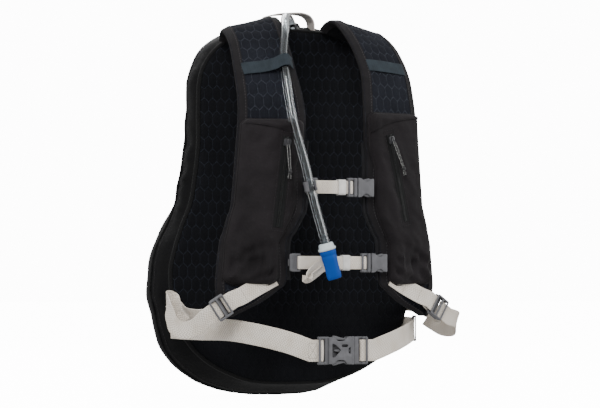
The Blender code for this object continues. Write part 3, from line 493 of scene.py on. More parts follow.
def loft_faces(rows, count, loop=False, caps=True, closed=True):
    faces = []
    last = rows if loop else rows - 1
    for r in range(last):
        n = (r + 1) % rows
        for i in range(count if closed else count - 1):
            j = (i + 1) % count
            faces.append((r * count + i, r * count + j, n * count + j, n * count + i))
    if caps and not loop and closed:
        faces.append(tuple(reversed(range(count))))
        faces.append(tuple(range((rows - 1) * count, rows * count)))
    return faces


def outward(obj, merge=0.0, toward=None):
    """Turns the faces to face out, or the largest of them toward a direction."""
    bm = bmesh.new()
    bm.from_mesh(obj.data)
    if merge:
        bmesh.ops.remove_doubles(bm, verts=bm.verts, dist=merge)
    bmesh.ops.recalc_face_normals(bm, faces=bm.faces)
    if toward and max(bm.faces, key=lambda f: f.calc_area()).normal.dot(toward) < 0:
        bmesh.ops.reverse_faces(bm, faces=bm.faces)
    bm.to_mesh(obj.data)
    bm.free()
    return obj


def give_wall(obj, thick, offset=-1):
    wall = obj.modifiers.new("wall", "SOLIDIFY")
    wall.thickness = thick
    wall.offset = offset


def lofted(name, rings, mat, body="pack", stands_for=(), loop=False, uvs=None, mats=None):
    count = len(rings[0])
    verts = [p for ring in rings for p in ring]
    faces = loft_faces(len(rings), count, loop)
    return outward(piece(name, verts, faces, mat, body, stands_for, False, uvs, mats))


def run_lengths(path):
    out = [0.0]
    for a, b in zip(path, path[1:]):
        out.append(out[-1] + (b - a).length)
    return out


def strip(
    name, path, across, width, thick, mat, body="pack", stands_for=(), wave=0.0, cup=0.0, seed=0
):
    """Webbing along a path, with rounded selvedges, a slight cup and soft waves."""
    ways = across if isinstance(across, list) else [across] * len(path)
    cols = [-1, -0.985, -0.94, -0.72, -0.36, 0, 0.36, 0.72, 0.94, 0.985, 1]
    deep = [0.35, 0.8, 1, 1, 1, 1, 1, 1, 1, 0.8, 0.35]
    rings, uvs = [], []
    for centre, along, way, gone in zip(path, tangents(path), ways, run_lengths(path)):
        side = (way - along * way.dot(along)).normalized()
        normal = along.cross(side).normalized()
        shift = wave * noise.noise(Vector((gone * 42, seed * 3.7, 0.5)))
        ring = []
        for face in (-1, 1):
            for a, d in list(zip(cols, deep))[::-face]:
                lift = face * thick / 2 * d + shift + cup * (a * a - 0.4)
                ring.append(centre + side * (a * width / 2) + normal * lift)
                uvs.append((a * width / 2, gone))
        rings.append(ring)
    return lofted(name, rings, mat, body, stands_for, uvs=uvs)


def circle(centre, along, radius, sides=24, start=X, flat=1.0):
    side = (start - along * start.dot(along)).normalized()
    other = along.cross(side).normalized()
    out = []
    for i in range(sides):
        turn = 2 * math.pi * i / sides
        out.append(centre + side * (radius * math.cos(turn)) + other * (radius * flat * math.sin(turn)))
    return out


def turned(
    name, centre, axis, profile, mat, body="pack", stands_for=(), sides=32, start=X, loop=False
):
    rings = []
    for row in profile:
        rings.append(
            circle(centre + axis * row[0], axis, row[1], sides, start, row[2] if len(row) > 2 else 1.0)
        )
    return lofted(name, rings, mat, body, stands_for, loop)


def rod(name, path, radius, mat, body="pack", sides=10, stands_for=(), flat=1.0):
    """A round cord as a mesh, with its ends rounded in."""
    ways = tangents(path)
    start = ways[0].orthogonal().normalized()
    rings, uvs = [], []
    lengths = run_lengths(path)
    for i, (centre, along) in enumerate(zip(path, ways)):
        start = (start - along * start.dot(along)).normalized()
        shrink = 0.55 if i in (0, len(path) - 1) else 1.0
        rings.append(circle(centre, along, radius * shrink, sides, start, flat))
        uvs += [(2 * math.pi * radius * k / sides, lengths[i]) for k in range(sides)]
    return lofted(name, rings, mat, body, stands_for, uvs=uvs)


def plate(name, loops, spot, thick, round_edge, mat, body="pack", stands_for=(), fine=3):
    """A moulded plate from outlines in mm: the first is its outside and the rest are holes.

    spot is (origin, u, v, w): the outlines lie in u and v, and w is its thickness direction.
    """
    origin, u, v, w = spot
    curve = bpy.data.curves.new(name, "CURVE")
    curve.dimensions = "2D"
    curve.fill_mode = "BOTH"
    curve.extrude = (thick / 2 - round_edge) * MM
    curve.bevel_depth = round_edge * MM
    curve.bevel_resolution = fine
    curve.offset = -round_edge * MM
    for loop in loops:
        spline = curve.splines.new("POLY")
        spline.points.add(len(loop) - 1)
        for point, (a, b) in zip(spline.points, loop):
            point.co = (a * MM, b * MM, 0, 1)
        spline.use_cyclic_u = True
    maker = bpy.data.objects.new(name + "_maker", curve)
    SCENE.collection.objects.link(maker)
    bpy.context.view_layer.update()
    mesh = bpy.data.meshes.new_from_object(maker.evaluated_get(bpy.context.evaluated_depsgraph_get()))
    bpy.data.objects.remove(maker)
    verts = [origin + u * p.co.x + v * p.co.y + w * p.co.z for p in mesh.vertices]
    faces = [tuple(f.vertices) for f in mesh.polygons]
    obj = outward(piece(name, verts, faces, mat, body, stands_for), 2e-6)
    obj.data.shade_smooth()
    obj.data.set_sharp_from_angle(angle=SHARP_PLATE)
    return obj


def rounded(points, radius, steps=4):
    """An outline with its corners rounded."""
    out = []
    n = len(points)
    for i, (x, y) in enumerate(points):
        ax, ay = points[i - 1]
        bx, by = points[(i + 1) % n]
        la, lb = math.hypot(ax - x, ay - y), math.hypot(bx - x, by - y)
        cut = min(radius, la * 0.45, lb * 0.45)
        p = (x + (ax - x) * cut / la, y + (ay - y) * cut / la)
        q = (x + (bx - x) * cut / lb, y + (by - y) * cut / lb)
        for k in range(steps + 1):
            t = k / steps
            out.append(
                (
                    (1 - t) ** 2 * p[0] + 2 * t * (1 - t) * x + t * t * q[0],
                    (1 - t) ** 2 * p[1] + 2 * t * (1 - t) * y + t * t * q[1],
                )
            )
    return out


def oblong(cx, cy, half_a, half_b, radius=1.0, steps=4):
    """A rectangle with rounded corners, from its middle and half sizes in mm."""
    corners = [(-1, -1), (1, -1), (1, 1), (-1, 1)]
    return rounded([(cx + a * half_a, cy + b * half_b) for a, b in corners], radius, steps)


def arc(radius, degrees, flat=None):
    """Points in mm round an arc, or round part of an oval where flat is given."""
    turns = [math.radians(t) for t in degrees]
    return [(radius * math.cos(t), (flat or radius) * math.sin(t)) for t in turns]


def open_ring(inner, outer, degrees, flat=None):
    """A C-shaped outline between two arcs."""
    return arc(outer, degrees, flat) + arc(inner, degrees[::-1])


def lifted(frame, rise):
    """The same frame, rise mm along its thickness."""
    origin, u, v, w = frame
    return (origin + w * rise * MM, u, v, w)


def joined(name, parts):
    """Joins meshes that ride on the same body into the first one."""
    bm = bmesh.new()
    for obj in parts:
        bm.from_mesh(obj.data)
    keep = parts[0]
    bm.to_mesh(keep.data)
    bm.free()
    for obj in parts[1:]:
        bpy.data.objects.remove(obj)
    keep.name = name
    return keep


# a short square thread's four rings of four corners, and its two ends
THREAD_FACES = loft_faces(4, 4, caps=False) + [(0, 1, 2, 3), (15, 14, 13, 12)]


def stitches(name, path, normals, pitch, length, mat, body="pack", radius=0.00028):
    """A seam's stitches: short rounded threads just proud of the cloth."""
    lengths = run_lengths(path)
    ways = tangents(path)
    verts, faces = [], []
    spot, i = pitch * 0.5, 0
    while spot < lengths[-1] - pitch * 0.3:
        while lengths[i + 1] < spot:
            i += 1
        share = (spot - lengths[i]) / max(lengths[i + 1] - lengths[i], 1e-9)
        centre = path[i].lerp(path[i + 1], share)
        normal = normals[i].lerp(normals[i + 1], share).normalized()
        along = (ways[i].lerp(ways[i + 1], share)).normalized()
        side = along.cross(normal).normalized()
        first = len(verts)
        for reach, size, rise in ((-0.5, 0.35, -0.6), (-0.3, 0.9, 0.2), (0.3, 0.9, 0.2), (0.5, 0.35, -0.6)):
            for a, b in ((-1, -0.6), (-0.7, 0.7), (0.7, 0.7), (1, -0.6)):
                verts.append(
                    centre
                    + along * (reach * length)
                    + side * (a * radius * size)
                    + normal * (b * radius * size + rise * radius)
                )
        faces += [tuple(first + v for v in face) for face in THREAD_FACES]
        spot += pitch
    return piece(name, verts, faces, mat, body, (), False)


# ---------------------------------------------------------------- bag

HALF_WIDTHS = [
    (0.01, 0.04), (0.02, 0.08), (0.038, 0.114), (0.064, 0.138), (0.103, 0.152),
    (0.138, 0.156), (0.165, 0.151), (0.195, 0.141), (0.22, 0.131), (0.247, 0.126),
    (0.289, 0.121), (0.329, 0.121), (0.368, 0.119), (0.39, 0.11), (0.405, 0.097),
    (0.416, 0.08), (0.424, 0.056), (0.428, 0.028),
]
# depth, share of the width low and high, share of the height below and above, sag
SKIN = [
    (0.0085, 1.0, 1.0, 1.0, 1.0, 0.0),
    (0.03, 1.03, 1.03, 1.05, 1.035, 0.006),
    (0.055, 1.045, 0.98, 1.083, 1.03, 0.01),
    (0.085, 1.0, 0.87, 1.06, 0.97, 0.01),
    (0.117, 0.9, 0.75, 0.95, 0.895, 0.008),
    (0.138, 0.76, 0.62, 0.8, 0.79, 0.004),
    (0.15, 0.6, 0.47, 0.62, 0.64, 0.0),
]
BAG_CENTRE = 0.19


def outline_of(per=5):
    """The panel's outline once round as (x, height), smooth."""
    right = [Vector((w, h, 0)) for h, w in HALF_WIDTHS]
    left = [Vector((-w, h, 0)) for h, w in reversed(HALF_WIDTHS)]
    loop = right + left
    n = len(loop)
    windows = [(loop[i - 1], loop[i], loop[(i + 1) % n], loop[(i + 2) % n]) for i in range(n)]
    return [(p.x, p.y) for p in curved(windows, per)]


OUTLINE = outline_of()


def skin_point(x, h, row):
    y, wide_low, wide_high, tall_low, tall_high, sag = row
    share = ease(h, 0.15, 0.3)
    wide = wide_low + (wide_high - wide_low) * share
    mid = ease(h, BAG_CENTRE - 0.04, BAG_CENTRE + 0.04)
    tall = tall_low + (tall_high - tall_low) * mid
    aside = sag * (1 - ease(h, 0, 0.12))
    return at(x * wide - aside, y, BAG_CENTRE + (h - BAG_CENTRE) * tall)


def build_panel():
    """The quilted back panel, its edge rolled over toward the bag."""
    rings = []
    levels = [
        (0.955, 0.0082), (0.985, 0.0078), (0.998, 0.0062), (1.0, 0.0045), (0.997, 0.0028), (0.988, 0.0016)
    ]
    levels += [(0.972, 0.0009), (0.95, 0.0005)]
    levels += [
        (s, 0.0) for s in (0.92, 0.88, 0.84, 0.79, 0.73, 0.67, 0.6, 0.53, 0.46, 0.38, 0.3, 0.22, 0.14, 0.07)
    ]
    for s, y in levels:
        ring = []
        for x, h in OUTLINE:
            px, ph = x * s, BAG_CENTRE + (h - BAG_CENTRE) * s
            lift = 0.0
            if s < 0.95:
                spot = Vector((px * 13, ph * 9, 2.0))
                lift = 0.0008 * (noise.noise(spot) + 0.5) * ease(0.95 - s, 0, 0.1)
            ring.append(at(px, y + lift, ph))
        rings.append(ring)
    obj = lofted("back_panel_pad", rings, HEX_PANEL, "pack", "back_panel")


def build_panel_binding():
    """The tape that binds the panel's seam."""
    turns = [math.radians(t) for t in (200, 240, 280, 320, 0, 40, 80, 120, 160)]
    n = len(OUTLINE)
    rings, uvs, gone = [], [], 0.0
    for i in range(n):
        x, h = OUTLINE[i]
        ax, ah = OUTLINE[i - 1]
        bx, bh = OUTLINE[(i + 1) % n]
        along = Vector((bx - ax, 0, bh - ah)).normalized()
        out = along.cross(Y).normalized()
        if out.dot(Vector((x, 0, h - BAG_CENTRE))) < 0:
            out = -out
        centre = at(x, 0.0066, h) + out * 0.0004
        ring = []
        for k, t in enumerate(turns):
            ring.append(centre + out * (0.003 * math.cos(t)) - Y * (0.0042 * math.sin(t)))
            uvs.append((k * 0.0011, gone))
        rings.append(ring)
        gone += math.hypot(bx - x, bh - h)
    lofted("back_panel_binding", rings, DARK_TAPE, "pack", (), True, uvs)


def skin_surface(x, h, row):
    """A point of the bag's cloth, with its wrinkles, and the way it faces."""
    p, deep = skin_point(x, h, row), row[0]
    facing = Vector((p.x, 0.35 * (p.y - 0.05), p.z * 0.6)).normalized()
    free = ease(deep, 0.012, 0.03)
    slow = noise.noise(Vector((p.x * 9, p.y * 16, p.z * 10)))
    fold = noise.noise(Vector((p.x * 26 + 7, p.y * 12, p.z * 44)))
    drag = noise.noise(Vector((p.x * 14 + p.z * 30, p.y * 26, p.z * 12 - 4)))
    pucker = 0.0
    if x < 0:
        side = ease(h, 0.2, 0.225) * (1 - ease(h, 0.3, 0.335))
        pucker = 0.0017 * math.sin(p.z * 560 + 4 * fold) * side * (1 - ease(deep, 0.03, 0.06))
    seam = -0.0014 * math.exp(-(((deep - 0.047) / 0.0024) ** 2))
    lift = free * (0.003 * slow + 0.002 * fold + 0.0022 * drag) + pucker * free + seam
    return p + facing * lift, facing


def build_shell():
    rows = curve_rows(SKIN, 5)
    count = len(OUTLINE)
    verts = [skin_surface(x, h, row)[0] for row in rows for x, h in OUTLINE]
    faces = loft_faces(len(rows), count, False, False)
    top = [verts[(len(rows) - 1) * count + i] for i in range(count)]
    middle = sum(top, Vector()) / count
    base = (len(rows) - 1) * count
    for k, s in enumerate((0.8, 0.55, 0.3)):
        for i in range(count):
            p = middle.lerp(top[i], s)
            p.y = 0.1496 - 0.0002 * k + 0.0005 * noise.noise(p * 14)
            verts.append(p)
    faces += [tuple(base + v for v in face) for face in loft_faces(4, count, caps=False)]
    last = base + 3 * count
    faces.append(tuple(last + i for i in range(count)))
    shell = piece("bag_body", verts, faces, NYLON, "pack", "bag_shell")
    outward(shell)
    give_wall(shell, 0.0012)
    return rows


def build_gusset(rows):
    """The piping along the gusset seam, and its stitches."""
    row = [r for r in rows if r[0] >= 0.0465][0]
    path = []
    for x, h in OUTLINE[::2]:
        p, facing = skin_surface(x, h, row)
        path.append(p + facing * 0.0003)
    rings = [circle(c, a, 0.0012, 8, Y) for c, a in zip(path, tangents(path + path[:1]))]
    pairs = [(k * 0.001, i * 0.004) for i in range(len(rings)) for k in range(8)]
    lofted("gusset_piping", rings, DARK_TAPE, "pack", (), True, pairs)
    row = [r for r in rows if r[0] >= 0.0385][0]
    seam = [skin_surface(x, h, row) for x, h in OUTLINE + OUTLINE[:1]]
    stitches(
        "gusset_stitching", [p + f * 0.0002 for p, f in seam], [f for _, f in seam], 0.0038, 0.0026, THREAD,
    )


PORT_WAY = Vector((-0.451, -0.752, 0.481)).normalized()
PORT_AT = at(0.0107, 0.0259, 0.4289)


def build_port():
    """The stretchy collar where the hose leaves the bag."""
    profile = [
        (0.0085, 0.0098), (0.01, 0.0096), (0.0118, 0.0084), (0.014, 0.007), (0.0148, 0.0062), (0.0148, 0.0054)
    ]
    profile += [(0.01, 0.0054), (0.0085, 0.006)]
    turned(
        "hose_port_gaiter", PORT_AT, PORT_WAY, profile, BLACK_PLASTIC, "pack", "hose_port",
        loop=True
    )


def build_haul_loop():
    y = 0.02
    rows = [(-0.0312, 0.44), (-0.0305, 0.443), (-0.0265, 0.447), (-0.012, 0.4505)]
    rows += [(0.012, 0.452), (0.024, 0.45), (0.0295, 0.445), (0.0312, 0.44)]
    path = smooth([at(x, y, h) for x, h in rows], 6)
    first, last = path[0], path[-1]
    path = [first - Z * 0.0016] + path + [last - Z * 0.0016]
    strip(
        "haul_loop_strap", path, Y, 0.02, 0.0018, LOOP_WEB, "haul_loop", "haul_loop", 0.0004
    )
    for x, tag in ((-0.0312, "right"), (0.0312, "left")):
        end = [at(x * s, y, h) for s, h in ((1, 0.4405), (1.002, 0.4365), (1.01, 0.4325), (1.03, 0.4275))]
        strip(f"haul_loop_end_{tag}", smooth(end, 3), Y, 0.0202, 0.0019, LOOP_WEB, "pack", ())
        run = [at(x + 0.0011 * math.copysign(1, x), y - 0.008 + 0.002 * k, 0.4412) for k in range(9)]
        side = X * math.copysign(1, x)
        stitches(
            f"haul_loop_tack_{tag}", run, [side] * 9, 0.0011, 0.0009, PALE_THREAD, "haul_loop", 0.0004,
        )


# ---------------------------------------------------------------- straps

STRAP_TURN = math.radians(13)
STRAP_ARCH = [
    (0.066, -0.004, 0.4225, 0, 17, -0.034, 0.035),
    (0.0672, -0.0125, 0.4275, 0, 17, -0.034, 0.036),
    (0.069, -0.0225, 0.43, 0, 16, -0.034, 0.036),
    (0.0718, -0.037, 0.426, 3, 13, -0.035, 0.035),
    (0.075, -0.058, 0.41, 6, 9, -0.035, 0.034),
    (0.0775, -0.0735, 0.392, 9, 6, -0.036, 0.034),
    (0.079, -0.0818, 0.379, 11, 4, -0.037, 0.034),
    (0.0798, -0.0885, 0.366, 12, 2, -0.038, 0.034),
    (0.08, -0.0965, 0.343, 13, 0, -0.041, 0.034),
]
STRAP_FLAT = [
    (0.318, -0.043, 0.035),
    (0.29, -0.042, 0.037),
    (0.27, -0.0405, 0.0385),
    (0.217, -0.0405, 0.043),
    (0.202, -0.036, 0.0475),
    (0.186, -0.0275, 0.052),
    (0.172, -0.0205, 0.0565),
    (0.13, -0.0205, 0.061),
    (0.118, -0.01, 0.0605),
    (0.105, 0.008, 0.059),
    (0.094, 0.03, 0.056),
    (0.088, 0.042, 0.052),
]
SIDES = ((-1, "right"), (1, "left"))


def on_pad(side, a, height, n):
    """A point of the flat chest run: a across, outward positive, and n off the pad's middle."""
    c, s = math.cos(STRAP_TURN), math.sin(STRAP_TURN)
    return at(side * (0.08 + c * a + s * n), -0.101 + s * a - c * n, height)


def pad_normal(side):
    return Vector((side * math.sin(STRAP_TURN), -math.cos(STRAP_TURN), 0))


def pad_frames(side):
    """Centre, across, outward normal and edges of every section, from the bag down."""
    rows = []
    for x, y, h, turn, lean, lo, hi in STRAP_ARCH:
        rows.append((at(x, y, h), math.radians(turn), math.radians(lean), lo, hi))
    for h, lo, hi in STRAP_FLAT:
        rows.append((on_pad(1, 0, h, 0), STRAP_TURN, 0.0, lo, hi))
    ways = tangents([row[0] for row in rows])
    flip = Vector((side, 1, 1))
    out = []
    for i, ((centre, turn, lean, lo, hi), along) in enumerate(zip(rows, ways)):
        if i >= len(STRAP_ARCH):
            along = -Z
        level = math.cos(lean)
        across = Vector((math.cos(turn) * level, math.sin(turn) * level, -math.sin(lean)))
        across = (across - along * across.dot(along)).normalized()
        normal = along.cross(across).normalized()
        out.append((centre * flip, across * flip, normal * flip, lo, hi, along * flip))
    return out


def fine_frames(side, per=6):
    rows = [(*c, *a, *n, lo, hi) for c, a, n, lo, hi, _ in pad_frames(side)]
    out = []
    for row in curve_rows(rows, per):
        across, normal = Vector(row[3:6]).normalized(), Vector(row[6:9])
        normal = (normal - across * normal.dot(across)).normalized()
        out.append((Vector(row[:3]), across, normal, row[9], row[10]))
    return out


def pad_lift(e, width):
    """Half thickness of the pad at a distance from its edge: pinched at the binding."""
    soft = min(0.01, width * 0.45)
    return 0.0019 + 0.0026 * ease(e, 0.0, soft) + 0.0005 * ease(e, soft * 0.5, width * 0.5)


def build_pad(side, name):
    frames = fine_frames(side)
    lengths = run_lengths([f[0] for f in frames])
    shares = [0.0, 0.02, 0.045, 0.08, 0.12, 0.17, 0.23, 0.3, 0.4, 0.5]
    shares = shares + [1 - s for s in reversed(shares[:-1])]
    rings, uvs = [], []
    for (centre, across, normal, lo, hi), gone in zip(frames, lengths):
        width = hi - lo
        ring = []
        for face in (1, -1):
            for s in shares if face > 0 else shares[-2:0:-1]:
                a = lo + width * s
                e = min(s, 1 - s) * width
                lift = pad_lift(e, width)
                spot = centre + across * a
                if face > 0:
                    lift += 0.0007 * noise.noise(spot * 38) * ease(e, 0.006, 0.016)
                else:
                    lift += 0.001 * noise.noise(spot * 30 + Z) * ease(e, 0.004, 0.014) - 0.0004
                ring.append(spot + normal * (lift * face))
                uvs.append((a, gone))
        rings.append(ring)
    pad = lofted(
        f"{name}_strap_pad", rings, HEX_STRIP, "pack", f"{name}_shoulder_strap", uvs=uvs,
        mats=[UNDERSIDE]
    )
    count, front = len(rings[0]), len(shares)
    for face in pad.data.polygons:
        low = [v % count for v in face.vertices]
        if len(low) == 4 and not all(k < front for k in low):
            face.material_index = 1
    build_bindings(name, frames, lengths)


def build_bindings(name, frames, lengths):
    """The grosgrain round both edges of a pad, sewn through."""
    for edge, tag in ((-1, "inner"), (1, "outer")):
        rings, uvs, run, normals = [], [], [], []
        for (centre, across, normal, lo, hi), gone in zip(frames, lengths):
            width = hi - lo
            reach = min(0.0098, width * 0.42)
            out = [
                (e, pad_lift(e, width) + 0.00045) for e in (reach, reach * 0.75, reach * 0.45, reach * 0.15)
            ]
            out += [(-0.0005, 0.0013), (-0.0009, 0.0), (-0.0005, -0.0013)]
            out += [(e, -pad_lift(e, width) - 0.00045) for e in (reach * 0.15, reach * 0.45, reach * 0.8)]
            inside = [(max(e, 0.0006), n * 0.8) for e, n in reversed(out)]
            ring = []
            for k, (e, n) in enumerate(out + inside):
                a = lo + e if edge < 0 else hi - e
                ring.append(centre + across * a + normal * n)
                uvs.append((min(k, 19 - k) * 0.0022, gone))
            rings.append(ring)
            e = reach * 0.8
            a = lo + e if edge < 0 else hi - e
            run.append(centre + across * a + normal * (pad_lift(e, width) + 0.0005))
            normals.append(normal)
        lofted(f"{name}_{tag}_binding", rings, BINDING, "pack", (), uvs=uvs)
        stitches(
            f"{name}_{tag}_binding_stitches", run, normals, 0.0036, 0.0022, GREY_THREAD, radius=0.00022,
        )


def build_elastic_loop(side, name):
    """A flat elastic band over the front of the pad, its ends sewn under the bindings."""
    centre, across, normal, lo, hi, along = pad_frames(side)[6]
    if side < 0:
        rows = [
            (lo + 0.003, 0.0062, 3.0), (-0.031, 0.011, 3.4), (-0.0285, 0.0148, 3.6), (-0.0235, 0.0164, 4.2)
        ]
        rows += [(-0.0185, 0.015, 5.0), (-0.013, 0.0108, 5.8), (0.0, 0.0072, 7.4)]
    else:
        rows = [(lo + 0.0085, 0.0048, 0.0), (lo + 0.011, 0.0056, 0.0)]
        rows += [(-0.015, 0.0066, 0.6), (0.0, 0.007, 1.2), (0.015, 0.0062, 1.6)]
    rows += [(hi - 0.012, 0.0058, 9.0 if side < 0 else 1.6), (hi - 0.0085, 0.0048, 9.4 if side < 0 else 2.0)]
    points = [centre + across * a + normal * n + along * (t * MM) for a, n, t in rows]
    strip(
        f"{name}_elastic_band", smooth(points, 6), along, 0.016, 0.0011, ELASTIC, "pack",
        f"{name}_elastic_loop", 0.0005, 0.0001, side
    )


RAIL = ribbed("rail_braid", (26, 26, 29), 0.0011)


def build_rail(side, name):
    rows = [row for row in STRAP_FLAT if 0.125 <= row[0] <= 0.3]
    path = [on_pad(side, lo - 0.0042, h, 0) for h, lo, _ in rows]
    fine = smooth(path, 6)
    rings, uvs = [], []
    c, s = math.cos(STRAP_TURN), math.sin(STRAP_TURN)
    across = Vector((side * c, s, 0))
    normal = pad_normal(side)
    shape = [(4.4, 0.35), (2.6, 0.33), (1.4, 0.4)]
    shape += [(1.5 * math.cos(t), 1.5 * math.sin(t)) for t in [math.radians(d) for d in range(30, 331, 25)]]
    shape += [(1.4, -0.4), (2.6, -0.33), (4.4, -0.35)]
    for centre, gone in zip(fine, run_lengths(fine)):
        rings.append([centre + across * a * MM + normal * n * MM for a, n in shape])
        uvs += [(k * 0.0006, gone) for k in range(len(shape))]
    lofted(f"{name}_rail_piping", rings, RAIL, "pack", f"{name}_sternum_rail", uvs=uvs)


# ---------------------------------------------------------------- strap pockets

POCKET_LOW = 0.124
POCKET_TOPS = {"right": 0.314, "left": 0.325}
ZIP_ENDS = {
    "right": ((-0.02, 0.294), (-0.008, 0.19)),
    "left": ((-0.016, 0.3), (0.008, 0.198)),
}


# how far the pocket's rim and the zip's face stand off the pad's middle
POCKET_RIM, ZIP_FACE = 0.0047, 0.0142


def pocket_edges(name, h):
    """The pocket's two edges at a height: rounded in at its top and bottom."""
    high = POCKET_TOPS[name]
    held = min(max(h, 0.134), 0.316)
    inner = between(STRAP_FLAT, held, 1) + 0.0095 - 0.007 * ease(h, 0.255, 0.285)
    outer = between(STRAP_FLAT, held, 2) - 0.006 + 0.003 * ease(h, 0.15, 0.2)
    low_end, high_end = ease(0.136 - h, 0, 0.012), ease(h - (high - 0.008), 0, 0.008)
    cut = 0.012 * (1 - math.sqrt(max(0.0, 1 - low_end**2)))
    cut = cut + 0.007 * (1 - math.sqrt(max(0.0, 1 - high_end**2)))
    return inner + cut, outer - cut


def near_zip(name, a, h):
    (a0, h0), (a1, h1) = ZIP_ENDS[name]
    run = Vector((a1 - a0, h1 - h0))
    rel = Vector((a - a0, h - h0))
    t = min(max(rel.dot(run) / run.length_squared, -0.04), 1.04)
    return (rel - run * t).length


def pocket_face(name, a, h):
    """How far the pocket's cloth stands off the pad's middle."""
    inner, outer = pocket_edges(name, h)
    e = min(a - inner, outer - a, (h - POCKET_LOW) * 0.9, (POCKET_TOPS[name] - h) * 1.2)
    e = max(e, 0.0)
    r = 0.0105
    dome = math.sqrt(max(0.0, 1 - (1 - min(e / r, 1)) ** 2))
    centre = (inner + outer) / 2
    belly = 0.0028 * (1 - ((a - centre) / (outer - inner) * 2) ** 2)
    belly = belly * ease(h, 0.13, 0.17) * (1 - ease(h, 0.25, 0.31))
    slack = ease(e, 0.001, 0.009)
    seed = 3.0 if name == "left" else 0.0
    low = 1 - ease(h, 0.15, 0.182)
    across = (a - inner) / (outer - inner)
    gather = math.sin(across * 34 + 2.2 * noise.noise(Vector((a * 60, h * 50, seed))))
    wrinkle = 0.0013 * gather * low * ease(h, 0.126, 0.14)
    drag = noise.noise(Vector((a * 50 + h * 36, h * 20 - a * 24, seed + 5)))
    small = noise.noise(Vector((a * 120 + h * 60, h * 95, seed + 9)))
    fan = math.sin((a - inner) * 210 + (h - 0.13) * 330 + 3 * drag)
    folds = 0.0056 * drag + 0.0018 * small + 0.0016 * fan * low
    flat = ease(near_zip(name, a, h), 0.0055, 0.0125)
    swell = (belly + folds * (0.6 + 0.4 * low)) * slack * (0.25 + 0.75 * flat)
    lift = 0.0092 * dome + swell + wrinkle * slack
    return POCKET_RIM + lift


def build_pocket_face(side, name):
    rows, cols = 84, 40
    verts, uvs = [], []
    for i in range(rows + 1):
        t = i / rows
        h = POCKET_LOW + (POCKET_TOPS[name] - POCKET_LOW) * t
        inner, outer = pocket_edges(name, h)
        for j in range(cols + 1):
            s = 0.5 - 0.5 * math.cos(math.pi * (j / cols))
            a = inner + (outer - inner) * s
            n = pocket_face(name, a, h) if 0 < i < rows and 0 < j < cols else POCKET_RIM
            verts.append(on_pad(side, a, h, n))
            uvs.append((a, h))
    faces = loft_faces(rows + 1, cols + 1, closed=False)
    cloth_face = piece(
        f"{name}_pocket_face", verts, faces, POCKET, "pack", f"{name}_strap_pocket", uvs=uvs
    )
    outward(cloth_face, toward=pad_normal(side))
    give_wall(cloth_face, 0.0009)


def build_pocket_hem(side, name):
    """The turned hem round the pocket's rim."""
    loop = []
    for edge, order in ((0, 1), (1, -1)):
        for i in range(41)[::order]:
            h = POCKET_LOW + (POCKET_TOPS[name] - POCKET_LOW) * (0.5 - 0.5 * math.cos(math.pi * i / 40))
            loop.append((pocket_edges(name, h)[edge], h))
    path = [on_pad(side, a, h, 0.0054) for a, h in loop]
    rings, uvs, gone = [], [], 0.0
    ways = tangents(path + [path[0]])
    for i, p in enumerate(path):
        if i and (p - path[i - 1]).length < 2e-4:
            continue
        gone += (p - path[i - 1]).length if i else 0
        rings.append(circle(p, ways[i], 0.0016, 10, pad_normal(side), 0.6))
        uvs += [(k * 0.0008, gone) for k in range(10)]
    lofted(f"{name}_pocket_hem", rings, POCKET, "pack", (), True, uvs)


def build_zip_box(side, name):
    """A box of stitching round the zipper."""
    (a0, h0), (a1, h1) = ZIP_ENDS[name]
    run = Vector((a1 - a0, h1 - h0)).normalized()
    off = Vector((-run.y, run.x))
    first, last = Vector((a0, h0)), Vector((a1, h1))
    corners = (
        (first, -0.005, -0.0072), (first, -0.005, 0.0072), (last, 0.004, 0.0072), (last, 0.004, -0.0072)
    )
    box = [end + run * reach + off * shift for end, reach, shift in corners]
    line = []
    for p, q in zip(box, box[1:] + box[:1]):
        for k in range(18):
            spot = p.lerp(q, k / 18)
            line.append(on_pad(side, spot.x, spot.y, pocket_face(name, spot.x, spot.y) + 0.0003))
    stitches(
        f"{name}_zip_box_stitches", line + [line[0]], [pad_normal(side)] * (len(line) + 1), 0.0032, 0.0022,
        THREAD, radius=0.00032
    )


def build_flap(side, name):
    """The flap folded down over the pocket's top edge, deepest at its inner corner."""
    wide, long = 12, 22
    verts = []
    high = POCKET_TOPS[name]
    for i in range(long + 1):
        t = i / long
        deep = 0.005 + 0.019 * (1 - t) ** 1.8
        for j in range(wide + 1):
            s = j / wide
            h = high - 0.0006 - deep * s
            inner, outer = pocket_edges(name, h)
            a = inner + (outer - inner) * (t * (0.55 + 0.45 * (1 - s * (1 - t))) if t < 1 else 1.0)
            a = min(max(a, inner + 0.0005), outer - 0.0005)
            n = pocket_face(name, a, h) + 0.0008 + 0.0013 * math.sin(math.pi * min(1.0, s * 1.15))
            verts.append(on_pad(side, a, h, n))
    faces = loft_faces(long + 1, wide + 1, closed=False)
    fold = outward(piece(f"{name}_pocket_flap", verts, faces, POCKET, "pack", ()))
    give_wall(fold, 0.0008, 0)


def build_pocket(side, name):
    build_pocket_face(side, name)
    build_pocket_hem(side, name)
    build_zip_box(side, name)
    build_flap(side, name)


def zip_frame(side, name):
    (a0, h0), (a1, h1) = ZIP_ENDS[name]
    top, end = on_pad(side, a0, h0, ZIP_FACE), on_pad(side, a1, h1, ZIP_FACE)
    down = (end - top).normalized()
    normal = pad_normal(side)
    return top, normal.cross(down).normalized(), normal, down, (end - top).length


